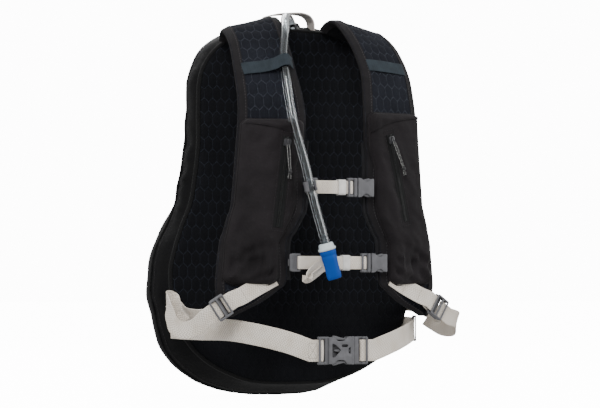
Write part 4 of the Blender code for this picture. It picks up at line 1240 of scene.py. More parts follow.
def coil_teeth(name, top, across, normal, down, length, half, pitch, body="pack"):
    """Two rows of coil teeth that meet in the middle."""
    verts, faces = [], []
    for k in range(int(length / pitch)):
        for hand in (-1, 1):
            spot = top + down * (pitch * (k + (0.25 if hand > 0 else 0.75)))
            first = len(verts)
            for a, rise in ((-0.1, 0.1), (0.25, 1.0), (0.75, 1.0), (1.05, 0.1)):
                for d in (-0.36, 0.36):
                    tooth = spot + across * (hand * half * a) + normal * (0.0012 * rise)
                    verts.append(tooth + down * (pitch * d * (0.6 + 0.4 * (1 - rise))))
            for m in range(3):
                b = first + 2 * m
                faces.append((b, b + 1, b + 3, b + 2))
            faces.append((first, first + 2, first + 4, first + 6))
            faces.append((first + 7, first + 5, first + 3, first + 1))
    return outward(piece(name, verts, faces, COIL, body, (), True))


def build_zipper(side, name):
    top, across, normal, down, length = zip_frame(side, name)
    path = [top + down * (length * i / 24) + normal * 0.0003 for i in range(25)]
    strip(
        f"{name}_zip_tape", path, across, 0.011, 0.0006, TAPE, "pack", f"{name}_pocket_zipper", 0.0
    )
    coil_teeth(
        f"{name}_zip_teeth", top + normal * 0.0005, across, normal, down, length, 0.0016, 0.0013
    )

    body = f"{name}_zip_slider"
    start = top + down * 0.007
    frame = (start + normal * 0.0026, across, -down, normal)
    outline = rounded([(-2.6, -4.4), (2.6, -4.4), (4.1, 1.5), (3.2, 4.4), (-3.2, 4.4), (-4.1, 1.5)], 1.0)
    plate(f"{name}_slider_body", [outline], frame, 1.4, 0.45, METAL, body, body)
    flange = rounded([(-4.2, -3.6), (-3.2, -4.4), (-3.2, 4.0), (-4.2, 3.2)], 0.3)
    low = (start + normal * 0.0018, across, -down, normal)
    for sign in (-1, 1):
        loop = [(sign * a, b) for a, b in flange][::sign]
        plate(f"{name}_slider_side_{'ab'[sign > 0]}", [loop], low, 1.6, 0.25, METAL, body, ())
    arch = [(-0.0034, 0.0032), (-0.0024, 0.005), (0, 0.0056), (0.0028, 0.005), (0.0036, 0.0032)]
    arch = smooth([start + down * d + normal * n for d, n in arch], 4)
    rod(f"{name}_slider_bridge", arch, 0.0008, METAL, body, 8, flat=1.3)

    body = f"{name}_zip_cord"
    hang = start + normal * 0.0049 + down * 0.002
    legs = [
        (-0.9, 32), (-1.2, 19), (-1.4, 7), (-1.1, 1.2), (0, -0.2), (1.1, 1.2), (1.4, 7), (1.2, 19), (0.9, 32)
    ]

    def swept(t):
        """The cord leans to one side as it hangs, with a slight wave."""
        return X * (0.0095 * (max(t, 0.0) / 38) ** 1.2 + 0.0009 * math.sin(t * 0.33)) + down * t * MM

    path = [hang + across * a * MM + swept(t) + normal * (0.0004 * math.sin(t * 0.4)) for a, t in legs]
    rod(f"{name}_pull_loop", smooth(path, 5), 0.00085, PULL, body, 8, f"{name}_zip_cord")
    knot = hang + swept(32)
    rows = [(-0.0022, 0.0012), (-0.0016, 0.0021), (0, 0.0025), (0.0016, 0.0021), (0.0022, 0.0013)]
    turned(f"{name}_pull_knot", knot, down, rows, PULL, body, (), 14, across)
    for sign in (-1, 1):
        tail = [(0.0008, 0.0015), (0.0016, 0.0052), (0.0013, 0.008)]
        tail = [knot + across * (sign * a) + down * d for a, d in tail]
        rod(f"{name}_pull_tail_{'ab'[sign > 0]}", smooth(tail, 4), 0.0008, PULL, body, 8)


def flecked_cord():
    """A black braid with pale flecks."""
    look = Look("flecked_braid", 0.75, Sheen_Weight=0.1)
    spot = look.split(look.place(True))
    turn = look.math("MULTIPLY", spot[0], 2 * math.pi / 0.003)
    rise = look.math("MULTIPLY", spot[1], 2 * math.pi / 0.0032)
    left = look.math("SINE", look.math("ADD", rise, turn))
    right = look.math("SINE", look.math("SUBTRACT", rise, turn))
    fleck = look.steps(look.math("MULTIPLY", left, right), 0.52, 0.7)
    fine = look.noise(look.place(), 900.0, 2.0)
    look.set(
        "Base Color", look.mix(fleck, look.mix(fine, rgb(12, 12, 13), rgb(30, 30, 32)), rgb(190, 190, 186))
    )
    look.set("Normal", look.bump(look.math("MAXIMUM", left, right), 0.0003))
    return look.mat


PULL = flecked_cord()


# ---------------------------------------------------------------- webbing and buckles

UPPER_H, LOWER_H = 0.237, 0.15
STERNUM_WEB, STRAP_WEB, BELT_WEB, WEB_THICK = 0.015, 0.02, 0.025, 0.0013
# mm from a buckle's middle to the webbing that passes over and under it
LIFT = 2.3
# degrees of a ring that's open on one side to clip over a rail
HOOK = range(-140, 141, 20)
WAIST_MOUTH = at(0.017, -0.122, 0.049)


def lay(frame, points):
    origin, u, _, w = frame
    return [origin + u * a * MM + w * c * MM for a, c in points]


def hairpin(bar, back, reach=2.5, lift=LIFT):
    """Round a bar at u = bar, open toward back (+1 or -1), from the rear to the front."""
    out = []
    for a, c in arc(reach, range(-90, 91, 18), lift):
        out.append((bar - back * a, c))
    return out


def box_stitches(name, spot, along, side, normal, long, wide, body, mat):
    """A sewn box with a cross in it."""
    a, b = along * long / 2, side * wide / 2
    corners = [spot - a - b, spot + a - b, spot + a + b, spot - a + b]
    runs = list(zip(corners, corners[1:] + corners[:1]))
    runs += [(corners[0], corners[2]), (corners[1], corners[3])]
    made = []
    for k, (p, q) in enumerate(runs):
        line = [p.lerp(q, i / 8) for i in range(9)]
        made.append(stitches(f"{name}_{k}", line, [normal] * 9, 0.0021, 0.0015, mat, body, 0.00024))
    return joined(name, made)


def outer_bar(name, frame, far, near, half, slot, body, parts):
    """The buckle's outer rail, which crosses in front of the webbing beside its bar."""
    span, middle = abs(far - near) / 2, (far + near) / 2
    for sign in (-1, 1):
        cheek = oblong(middle, sign * (half + slot) / 2, span + 1.2, (half - slot) / 2, 1.0)
        parts.append(plate(f"{name}_cheek_{sign + 1}", [cheek], lifted(frame, 1.7), 5.6, 1.0, PLASTIC, body))
    rail = oblong(far, 0, 1.25, half - 0.6, 1.0)
    parts.append(plate(f"{name}_rail", [rail], lifted(frame, 4.4), 2.4, 0.9, PLASTIC, body))


def female_half(name, frame, half, slot, k, hook, body):
    """The half that takes the prongs, k times as deep as the small one, with a bar or a rail hook."""
    origin, u, v, w = frame
    closed_end = -15 * k
    back = -(15 * k + 1.5) if hook is not None else -(15 * k + 1.5 + 9.5)

    def slab(tag, loops, middle, thick, edge, stands=()):
        return plate(f"{name}_female_{tag}", loops, lifted(frame, middle), thick, edge, PLASTIC, body, stands)

    pinch = 5.2 if hook is None else 3.9
    side = [
        (0, half), (-2.6 * k, half), (-4.0 * k, half - 0.7), (-6.0 * k, half + 0.5 - pinch),
        (-8.4 * k, half - pinch)
    ]
    side += [(-10.6 * k, half + 0.6 - pinch), (-12.2 * k, half - 1.0), (closed_end - 1.5, half - 0.3)]
    outline = side + [(a, -b) for a, b in reversed(side)]
    shell = rounded(outline, 1.6, 3)
    holes = []
    if hook is None:
        # the gap between the prongs, the grip's oval and the mouth's notch
        gap = [(-13.6 * k, 8.2), (-13.6 * k, -8.2), (-11.6 * k, -7.4), (-8.0 * k, 0.4), (-11.6 * k, 6.6)]
        notch = [(-2.0 * k, 4.2), (-2.0 * k, -4.2), (-3.0 * k, -3.0), (-3.4 * k, 0), (-3.0 * k, 3.0)]
        holes = [rounded(gap, 1.6), oblong(-5.6 * k, 5.4, 4.0, 1.5, 1.4), rounded(notch, 0.9)[::-1]]
    parts = [slab("front", [shell] + holes, 3.2, 1.6, 0.5, f"{name}_buckle_female")]
    parts.append(slab("rear", [shell], -3.2, 1.6, 0.5))
    end = oblong(closed_end - 0.1, 0, 1.5, half - 1.2, 1.0)
    parts.append(slab("end", [end], 0, 7.0, 0.6))
    for sign in (-1, 1):
        wall = oblong(-1.9 * k, sign * (half - 0.85), 1.9 * k, 0.8, 0.5)
        parts.append(slab(f"wall_{'ab'[sign > 0]}", [wall], 0, 6.6, 0.4))
    lip = [(0.2, half + 0.25), (-2.4, half + 0.25), (-2.4, -half - 0.25), (0.2, -half - 0.25)]
    for level in (3.75, -3.75):
        parts.append(slab(f"lip_{'ab'[level > 0]}", [rounded(lip, 0.9)], level, 1.0, 0.4))
    if hook is None:
        rim = rounded([(back, -half), (closed_end, -half), (closed_end, half), (back, half)], 1.8)
        gap = oblong(back + 3.9, 0, 1.5, slot, 1.0)
        parts.append(slab("frame", [rim, gap], 0, 4.2, 1.1))
        outer_bar(name + "_female", frame, back - 2.6, back + 2.0, half, slot, body, parts)
    else:
        spot = (origin - w * 7.8 * MM + u * hook * MM, u, w, v)
        grip = open_ring(2.1, 3.35, HOOK, 3.25)
        parts.append(plate(f"{name}_female_hook", [grip], spot, 8.0, 0.3, PLASTIC, body))
        foot = oblong(0, 3.9, 3.0, 1.1, 0.5)
        parts.append(plate(f"{name}_female_foot", [foot], spot, 8.0, 0.3, PLASTIC, body))
    joined(f"{name}_female_shell", parts)
    return back


def male_half(name, frame, half, slot, k, grow):
    """The half with the prongs, its frame grow times as long as the small one's."""
    male = f"{name}_buckle_male"
    front = 2.8
    mid, bar_in, bar_out = front + 2.2 * grow, 7.7 + 4.2 * (grow - 1), 9.7 + 4.2 * (grow - 1)
    parts = []
    edge = [(0.5, half - 1.4), (1.6, half - 0.2), (mid, half)]
    face = rounded([(a, -b) for a, b in edge] + edge[::-1], 0.8)
    parts.append(plate(f"{name}_male_front", [face], frame, 6.6, 1.1, PLASTIC, male, male))
    rim = rounded([(front, -half), (bar_out, -half), (bar_out, half), (front, half)], 1.5)
    gap = oblong((mid + bar_in) / 2, 0, (bar_in - mid) / 2, slot, 0.7)
    parts.append(plate(f"{name}_male_frame", [rim, gap], frame, 2.6, 1.0, PLASTIC, male))
    tongue = rounded(
        [(-12 * k, -0.7), (-12 * k, 0.7), (-10 * k, 1.6), (1.4, 1.6), (1.4, -1.6), (-10 * k, -1.6)], 0.6
    )
    parts.append(plate(f"{name}_male_tongue", [tongue], frame, 3.6, 0.7, PLASTIC, male))
    outer_bar(name + "_male", frame, bar_out + 2.6, bar_in + 0.4, half, slot, male, parts)
    joined(f"{name}_male_body", parts)
    return bar_in


def latches(name, frame, half, k):
    """The two prongs, each turning about its own hinge."""
    origin, u, v, w = frame
    hinge_u, hinge_v = 1.3, half - 3.0
    shape = [(0, 1.1), (6, 1.1), (8, 1.42), (10, 1.9), (12, 2.5), (12.9, 2.55), (13.6, 1.7)]
    shape += [(13.6, 0.2), (12.4, -0.7), (6, -1.0), (0, -1.1), (-0.8, -0.8), (-1.1, 0), (-0.8, 0.8)]
    for label, sign in (("upper", 1), ("lower", -1)):
        pivot = origin + u * hinge_u * MM + v * sign * hinge_v * MM
        arm = []
        for d, e in shape:
            rise = (e - 1.1) * k + 1.1 if e > 1.1 else e
            arm.append((-d * (k if d > 0 else 1), rise * sign))
        latch = f"{name}_latch_{label}"
        plate(
            f"{latch}_arm", [rounded(arm[::sign], 0.5, 2)], (pivot, u, v, w), 4.4, 0.5, PLASTIC, latch, latch
        )


def release_buckle(name, frame, web, k, hook=None, grow=1.0):
    """A side-release buckle.  Returns where its two webbing bars stand along u, in mm."""
    half, slot = web / MM / 2 + 3.5, web / MM / 2 + 0.6
    back = female_half(name, frame, half, slot, k, hook, "pack" if name == "waist" else name)
    bar = male_half(name, frame, half, slot, k, grow)
    latches(name, frame, half, k)
    return bar + 1.0, back + 1.2


def build_glide(name, rail, toward, body):
    u, v, w = X * toward, Z, -Y
    rim = rounded([(-3.4, -9.6), (0.5, -10.5), (10.8, -10.5), (10.8, 10.5), (0.5, 10.5), (-3.4, 9.6)], 2.2)
    gap = oblong(7.5, 0, 1.3, 8.1, 0.8)
    frame = (rail, u, v, w)
    parts = [plate(name + "_face", [rim, gap], lifted(frame, 7.8), 2.6, 0.9, PLASTIC, body, name)]
    for i in range(3):
        ridge = oblong(0.6 + 1.7 * i, 0, 0.45, 7.4, 0.4)
        parts.append(plate(f"{name}_ridge_{i}", [ridge], lifted(frame, 9.1), 0.9, 0.35, PLASTIC, body))
    spot = (rail, u, w, v)
    parts.append(plate(name + "_hook", [open_ring(2.1, 3.3, HOOK, 3.25)], spot, 8.0, 0.3, PLASTIC, body))
    parts.append(plate(name + "_foot", [oblong(0.4, 4.9, 2.7, 1.9, 0.6)], spot, 8.0, 0.4, PLASTIC, body))
    joined(name + "_moulding", parts)


def build_sternum(name, height):
    body = f"{name}_sternum"
    low = between(STRAP_FLAT, height, 1) - 0.0042
    rail_r, rail_l = on_pad(-1, low, height, 0), on_pad(1, low, height, 0)
    build_glide(f"{body}_glide", rail_r, 1, body)
    mouth = rail_l - Y * 7.8 * MM - X * 11.6 * MM
    frame = (mouth, -X, Z, -Y)
    bar, _ = release_buckle(body, frame, STERNUM_WEB, 1.25, -11.6)
    run = (mouth - rail_r).x / MM
    glide_bar = run - 9.8
    path = [(bar + 15, -LIFT), (bar + 10, -LIFT), (bar + 5, -LIFT)] + hairpin(bar, 1)
    path += [(bar + 5, LIFT)]
    steps = 9
    for i in range(1, steps):
        path.append((bar + 5 + (glide_bar - bar - 10) * i / steps, LIFT + 0.35 * math.sin(i * 1.9)))
    path += [(glide_bar - 5, LIFT)] + hairpin(glide_bar, -1)[::-1]
    path += [(glide_bar - 5, -LIFT), (glide_bar - 9, -LIFT), (glide_bar - 13, -LIFT)]
    points = lay(frame, path)
    web = strip(
        f"{body}_strap", points, Z, STERNUM_WEB, WEB_THICK, WEBBING, None, f"{body}_webbing",
        0.0004, 0.0003, height
    )
    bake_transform(web)

    # the sewn end beside the glide, then the keeper on the free end
    spot = mouth - X * (glide_bar - 9) * MM - Y * (LIFT + 0.72) * MM
    box_stitches(f"{body}_box", spot, X, Z, -Y, 0.0072, 0.0105, body, PALE_THREAD)
    male = f"{body}_buckle_male"
    build_keeper(body, male, mouth, bar + 12 if name == "upper" else bar + 24)
    if name == "lower":
        build_lower_tail(mouth, bar)


def build_keeper(body, male, mouth, keep):
    """The elastic ring that holds the free webbing, keep mm from the buckle's mouth."""
    edge = 8.25
    outer, inner = [], []
    for t in [math.tau * i / 28 for i in range(28)]:
        c, s = math.cos(t), math.sin(t)
        pv = math.copysign(abs(c) ** 0.28, c)
        pw = math.copysign(abs(s) ** 0.45, s)
        outer.append((pv * (edge + 0.7), pw * 4.1))
        inner.append((pv * (edge - 0.1), pw * 3.5))
    rings, uvs = [], []
    levels = [
        (-4.5, inner), (-4.5, outer), (-2.2, outer), (0.0, outer), (2.2, outer), (4.5, outer), (4.5, inner)
    ]
    for a, loop in levels:
        sag = 0.12 * math.sin(a)
        rings.append([mouth - X * (keep + a) * MM + Z * b * MM - Y * (c + sag) * MM for b, c in loop])
        uvs += [((a + 5) * MM, i * 0.0016) for i in range(28)]
    lofted(f"{body}_elastic_keeper", rings, WHITE_ELASTIC, male, f"{body}_keeper", True, uvs)


def build_lower_tail(mouth, bar):
    """The lower strap's free end, past its keeper, folded back on itself."""
    tail = [(29, 3.4, 0), (38, 3.7, -0.6), (50, 4.3, -2), (60, 5.6, -5.5), (68, 7.0, -10)]
    tail += [(74, 7.4, -14), (75, 6.2, -17.5), (70, 4.8, -17), (62, 4.0, -12), (55, 3.6, -7)]
    points = smooth([mouth - X * (bar + a) * MM - Y * c * MM + Z * h * MM for a, c, h in tail], 4)
    ways = []
    for i in range(len(points)):
        turn = 0.7 * ease(i, len(points) * 0.3, len(points) * 0.6)
        ways.append((Z * math.cos(turn) - Y * math.sin(turn)).normalized())
    web = strip(
        "lower_sternum_tail", points, ways, 0.0148, 0.0012, WEBBING, None, (), 0.0005, 0.0003, 8
    )
    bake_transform(web)


def build_waist():
    frame = (WAIST_MOUTH, X, Z, -Y)
    bar, back = release_buckle("waist", frame, BELT_WEB, 2.0, grow=2.0)
    w = between(HALF_WIDTHS, 0.0865) + 0.005
    near = [(back - 16, -LIFT), (back - 10, -LIFT), (back - 5, -LIFT)] + hairpin(back, -1)
    near = lay(frame, near + [(back - 5, LIFT), (back - 14, LIFT)])
    far = [
        at(-0.062, -0.1175, 0.0585), at(-0.092, -0.101, 0.067), at(-0.118, -0.0765, 0.0725),
        at(-0.138, -0.043, 0.073), at(-w + 0.002, -0.014, 0.0735), at(-w, 0.006, 0.074),
        at(-w, 0.018, 0.074),
    ]
    path = near + smooth([near[-1]] + far, 7)[1:]
    strip(
        "waist_belt_right", path, Z, BELT_WEB, WEB_THICK, WEBBING, "pack", "waist_webbing_right",
        0.0011, 0.0005, 1
    )
    near_l = [(bar + 16, -LIFT), (bar + 10, -LIFT), (bar + 5, -LIFT)] + hairpin(bar, 1)
    near_l = lay(frame, near_l + [(bar + 5, LIFT), (bar + 14, LIFT)])
    far = [
        at(0.068, -0.118, 0.057), at(0.097, -0.1, 0.065), at(0.122, -0.073, 0.0715),
        at(0.14, -0.04, 0.074), at(w - 0.001, -0.012, 0.0735), at(w, 0.006, 0.074),
        at(w, 0.018, 0.074),
    ]
    path = near_l + smooth([near_l[-1]] + far, 7)[1:]
    web = strip(
        "waist_belt_left", path, Z, BELT_WEB, WEB_THICK, WEBBING, None, "waist_webbing_left",
        0.0011, 0.0005, 2
    )
    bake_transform(web)
    out = -Y * (LIFT + 0.95) * MM
    box_stitches(
        "waist_box", WAIST_MOUTH + X * (back - 12) * MM + out, X, Z, -Y, 0.011, 0.017, "pack", PALE_THREAD
    )


def build_triglide():
    spot = at(0.1312, -0.058, 0.073)
    along = (at(0.14, -0.04, 0.074) - at(0.122, -0.073, 0.0715)).normalized()
    up = (Z - along * along.z).normalized()
    out = along.cross(up).normalized()
    edge = 13.0
    rim = rounded([(-6.2, -edge - 2.2), (6.2, -edge - 2.2), (6.2, edge + 2.2), (-6.2, edge + 2.2)], 1.6)
    holes = [oblong(-2.6, 0, 1.6, edge, 0.7), oblong(2.6, 0, 1.6, edge, 0.7)]
    frame = (spot, along, up, out)
    rear = [rim, oblong(0, 0, 4.4, edge, 0.7)]
    front_at, rear_at = lifted(frame, 1.5), lifted(frame, -2.0)
    parts = [plate("triglide_front", [rim] + holes, front_at, 1.4, 0.5, PLASTIC, "pack", "waist_triglide")]
    parts.append(plate("triglide_rear", rear, rear_at, 1.2, 0.5, PLASTIC))
    for sign in (-1, 1):
        cheek = oblong(0, sign * (edge + 1.2), 5.6, 0.8, 0.5)
        parts.append(plate(f"triglide_cheek_{'ab'[sign > 0]}", [cheek], frame, 4.6, 0.3, PLASTIC))
    joined("triglide_moulding", parts)


def lock_frame(side):
    c, s = math.cos(STRAP_TURN), math.sin(STRAP_TURN)
    lean = math.radians(33)
    across = Vector((side * c, s, 0))
    u = across * math.cos(lean) - Z * math.sin(lean)
    v = across * math.sin(lean) + Z * math.cos(lean)
    return (at(side * 0.141, -0.1, 0.097), u, v, Vector((side * s, -c, 0)))


def build_ladder_lock(name, frame, body):
    rim = [
        (-12, -13.5), (-12, 13.5), (4.2, 13.5), (5.6, 10.9), (9.0, 9.6), (9.0, -9.6), (5.6, -10.9),
        (4.2, -13.5)
    ]
    holes = [oblong(-7.75, 0, 1.75, 10.7, 0.9), oblong(-0.5, 0, 2.0, 10.7, 0.9)]
    parts = [plate(f"{name}_lock_frame", [rounded(rim, 1.8)] + holes, frame, 3.0, 1.0, PLASTIC, body, body)]
    for i in range(3):
        rib = oblong(4.6 + 1.6 * i, 0, 0.4, 8.2, 0.35)
        parts.append(plate(f"{name}_lock_rib_{i}", [rib], lifted(frame, 1.5), 0.8, 0.3, PLASTIC, body))
    over = rounded([(-11.4, -13.2), (-11.4, 13.2), (7.2, 13.2), (7.2, -13.2)], 2.2)
    windows = [oblong(-6.3, 0, 3.0, 10.7, 0.9), oblong(2.1, 0, 3.0, 10.7, 0.9)]
    parts.append(plate(f"{name}_lock_front", [over] + windows, lifted(frame, 4.9), 2.0, 0.9, PLASTIC, body))
    for sign in (-1, 1):
        cheek = oblong(-2.0, sign * 12.0, 8.2, 1.0, 0.6)
        parts.append(
            plate(f"{name}_lock_cheek_{sign + 1}", [cheek], lifted(frame, 2.6), 4.4, 0.4, PLASTIC, body)
        )
    joined(f"{name}_lock_moulding", parts)


def build_strap_web(side, name, frame):
    """The webbing sewn into the pad's lower end, round the lock's upper bar."""
    origin, u, v, _ = frame
    bar = -10.75
    turn = [(bar + a, c) for a, c in arc(3.05, range(90, -91, -18))]
    sewn = [
        (-0.006, 0.133, 0.0058), (0.004, 0.1275, 0.006), (0.013, 0.1226, 0.0066), (0.023, 0.1172, 0.0092),
        (0.033, 0.1118, 0.013)
    ]
    flat = smooth([on_pad(side, a, h, n) for a, h, n in sewn] + lay(frame, [(-20, 3.3), (-15, 3.15)]), 4)
    points = flat + lay(frame, turn + [(-17, -2.2), (-21, -1.0)])
    web = strip(
        f"{name}_strap_web", points, v, STRAP_WEB, WEB_THICK, WEBBING, None, f"{name}_strap_webbing",
        0.0003, 0.0002, side
    )
    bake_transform(web)
    normal = pad_normal(side)
    for k, spot in enumerate((flat[8], flat[15])):
        run = [spot + v * (0.0085 * i / 6) + normal * 0.0009 for i in range(-6, 7)]
        stitches(
            f"{name}_strap_seam_{k}", run, [normal] * 13, 0.0022, 0.0015, PALE_THREAD, "pack", 0.00026,
        )


def build_adjuster(side, name, frame):
    """The strap from the bag's side seam, through the lock, to its loose end."""
    origin, u, v, _ = frame
    x = between(HALF_WIDTHS, 0.104) + 0.0048
    mid = [
        at(side * x, 0.018, 0.103), at(side * x, 0.004, 0.103), at(side * (x + 0.001), -0.018, 0.1005),
        at(side * (x + 0.003), -0.042, 0.095), at(side * (x + 0.004), -0.064, 0.089),
    ]
    rear = lay(frame, [(16, -5.0), (9, -2.75)])
    loop = [(3.4 - 4.1 * math.cos(t), 2.6 * math.sin(t)) for t in [-1.3 + 0.26 * k for k in range(11)]]
    front = lay(frame, loop + [(9, 2.75), (17, 2.4)])
    if side < 0:
        tail = [
            (-0.164, -0.088, 0.0765), (-0.1745, -0.08, 0.0725), (-0.1825, -0.07, 0.077),
            (-0.1852, -0.062, 0.089), (-0.1855, -0.056, 0.101), (-0.183, -0.05, 0.108),
            (-0.1775, -0.05, 0.106), (-0.1745, -0.055, 0.096), (-0.173, -0.06, 0.087),
            (-0.169, -0.065, 0.08),
        ]
    else:
        tail = [
            (0.1735, -0.087, 0.083), (0.176, -0.072, 0.074), (0.168, -0.064, 0.0735),
            (0.156, -0.062, 0.08), (0.147, -0.06, 0.086),
        ]
    head = smooth(mid + rear, 5)
    rest = smooth([front[-2], front[-1]] + [at(*row) for row in tail], 6)[6:]
    path = head[:-1] + rear[-1:] + front[:-1] + rest
    start, stop = len(head) - 8, len(head) + len(front)
    ways = []
    for i in range(len(path)):
        if i < start:
            share = max(0.0, (i - 6) / (start - 6))
        elif i < stop:
            share = 1.0
        else:
            share = max(0.0, 1 - (i - stop) / 14)
        ways.append(Z.lerp(v, share).normalized())
    web = strip(
        f"{name}_adjuster_strap", path, ways, STRAP_WEB, WEB_THICK, WEBBING, None, f"{name}_adjuster_webbing",
        0.0008, 0.0004, side + 5
    )
    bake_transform(web)
    # the tail's end, folded over twice and sewn
    end, before = path[-1], path[-4]
    along = (end - before).normalized()
    out = X * side
    fold = [
        end - along * 0.013 + out * 0.0019, end - along * 0.004 + out * 0.0021,
        end + along * 0.001 + out * 0.0012
    ]
    strip(f"{name}_tail_fold", fold, Z, 0.0202, 0.0014, WEBBING, "pack", (), 0, 0.0002, 3)


def build_lower_webbing(side, name):
    frame, body = lock_frame(side), f"{name}_ladder_lock"
    build_ladder_lock(name, frame, body)
    build_strap_web(side, name, frame)
    build_adjuster(side, name, frame)


# ---------------------------------------------------------------- drink tube

TUBE_R = 0.005
CLIP_AT = at(-0.04, -0.1294, UPPER_H)
CLIP_WAY = Vector((-0.2, 0.055, 0.978)).normalized()
VALVE_WAY = Vector((0.27, -0.03, -0.962)).normalized()
COLLAR_AT = at(-0.0205, -0.133, 0.165)


def spaced(path, step):
    """Points at equal steps along a smooth path, with both of its ends."""
    lengths = run_lengths(path)
    count = max(2, round(lengths[-1] / step))
    out, i = [path[0]], 0
    for k in range(1, count):
        goal = lengths[-1] * k / count
        while lengths[i + 1] < goal:
            i += 1
        share = (goal - lengths[i]) / (lengths[i + 1] - lengths[i])
        out.append(path[i].lerp(path[i + 1], share))
    return out + [path[-1]]


def hose_route():
    """One smooth line from the bag's port to the bite valve's collar."""
    frames = pad_frames(-1)

    def over(k, a, n):
        return frames[k][0] + frames[k][1] * a + frames[k][2] * n

    end = COLLAR_AT - VALVE_WAY * 0.0074
    return [
        PORT_AT + PORT_WAY * 0.0002,
        PORT_AT + PORT_WAY * 0.0085,
        PORT_AT + PORT_WAY * 0.017,
        at(-0.0095, -0.006, 0.4425),
        at(-0.0215, -0.025, 0.4425),
        at(-0.032, -0.043, 0.4385),
        over(4, -0.0325, 0.0118),
        over(5, -0.026, 0.011),
        over(6, -0.0235, 0.0107),
        over(7, -0.023, 0.011),
        over(8, -0.0225, 0.012),
        on_pad(-1, -0.024, 0.322, 0.015),
        on_pad(-1, -0.0285, 0.3, 0.0196),
        on_pad(-1, -0.0345, 0.278, 0.0208),
        at(-0.0455, -0.1292, 0.26),
        CLIP_AT,
        at(-0.0315, -0.131, 0.204),
        end - VALVE_WAY * 0.018,
        end,
    ]


def build_hose():
    line = spaced(smooth(hose_route(), 10), 0.002)
    for _ in range(24):
        inside = [a * 0.25 + b * 0.5 + c * 0.25 for a, b, c in zip(line, line[1:], line[2:])]
        line = [line[0]] + inside + [line[-1]]
    ways = tangents(line)
    start = ways[0].orthogonal().normalized()
    outer_rings, inner_rings = [], []
    for centre, along in zip(line, ways):
        start = (start - along * start.dot(along)).normalized()
        outer_rings.append(circle(centre, along, TUBE_R, 26, start))
        inner_rings.append(circle(centre, along, 0.0032, 26, start))
    rings = outer_rings + inner_rings[::-1]
    hose = lofted(
        "drink_hose", rings, HOSE, None, ("drink_tube_upper", "drink_tube_lower"), True
    )
    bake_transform(hose)
    return hose, line


def build_clip():
    way = CLIP_WAY
    out = (-Y - way * (-Y).dot(way)).normalized()
    shape = arc(5.4, range(42, 319, 12)) + arc(7.4, range(42, 319, 12)[::-1])
    parts = [
        plate(
            "tube_clip_ring", [shape], (CLIP_AT, out, way.cross(out), way), 12.0, 0.6, PLASTIC,
            "upper_sternum", "tube_clip"
        )
    ]
    for level in (-4.0, 4.0):
        spot = CLIP_AT + way * level * MM
        band = arc(7.2, range(52, 309, 16)) + arc(7.85, range(52, 309, 16)[::-1])
        parts.append(
            plate(
                f"tube_clip_rib_{'ab'[level > 0]}", [band], (spot, out, way.cross(out), way), 1.6, 0.25,
                PLASTIC, "upper_sternum"
            )
        )
    joined("tube_clip_moulding", parts)


def build_valve():
    profile = [
        (-0.0072, 0.0052), (-0.0074, 0.007), (-0.007, 0.008), (-0.006, 0.0085), (-0.003, 0.0089),
        (
            -0.0022, 0.0092
        ), (-0.0018, 0.0101), (-0.0008, 0.0104), (0.0004, 0.0103), (0.001, 0.0097), (0.001, 0.0046),
        (0.0075, 0.0044), (0.0075, 0.003), (-0.0072, 0.003),
    ]
    turned(
        "valve_collar", COLLAR_AT, VALVE_WAY, profile, COLLAR, "upper_sternum", "bite_valve_collar",
        40, X, True
    )
    barb = [(-0.007, 0.0026)]
    for k in range(3):
        barb += [(-0.0076 - 0.0032 * k, 0.0037), (-0.0104 - 0.0032 * k, 0.0027)]
    barb += [(-0.0176, 0.0025), (-0.0176, 0.0018), (-0.007, 0.0018)]
    turned("barbed_fitting", COLLAR_AT, VALVE_WAY, barb, BARB, "upper_sternum", (), 24, X, True)
    ribs = []
    side = (X - VALVE_WAY * X.dot(VALVE_WAY)).normalized()
    other = VALVE_WAY.cross(side)
    spot = COLLAR_AT - VALVE_WAY * 0.0066
    for k in range(12):
        t = math.tau * k / 12
        out = side * math.cos(t) + other * math.sin(t)
        run = [spot + out * 0.0083 + VALVE_WAY * 0.0008, spot + out * 0.0089 + VALVE_WAY * 0.0036]
        ribs.append(rod(f"collar_rib_{k}", run, 0.0004, COLLAR, "upper_sternum", 6))
    joined("collar_ribs", ribs)

    tip = [
        (
            0.0082, 0.0046
        ), (0.0082, 0.005), (0.0013, 0.0052), (0.0013, 0.009), (0.002, 0.0094), (0.006, 0.0092),
        (0.0068, 0.0087), (0.0078, 0.0087), (0.0086, 0.009), (0.013, 0.0087, 0.97), (0.017, 0.0085, 0.93),
        (0.021, 0.0085, 0.87), (0.025, 0.0087, 0.8), (0.029, 0.0089, 0.72), (0.0322, 0.0089, 0.66),
        (0.0342, 0.0085, 0.6), (0.0352, 0.0076, 0.52), (0.0351, 0.006, 0.16), (0.0336, 0.0052, 0.06),
    ]
    turned("bite_valve_tip", COLLAR_AT, VALVE_WAY, tip, BLUE, "bite_valve", "bite_valve", 44)


# ---------------------------------------------------------------- main zipper, reservoir


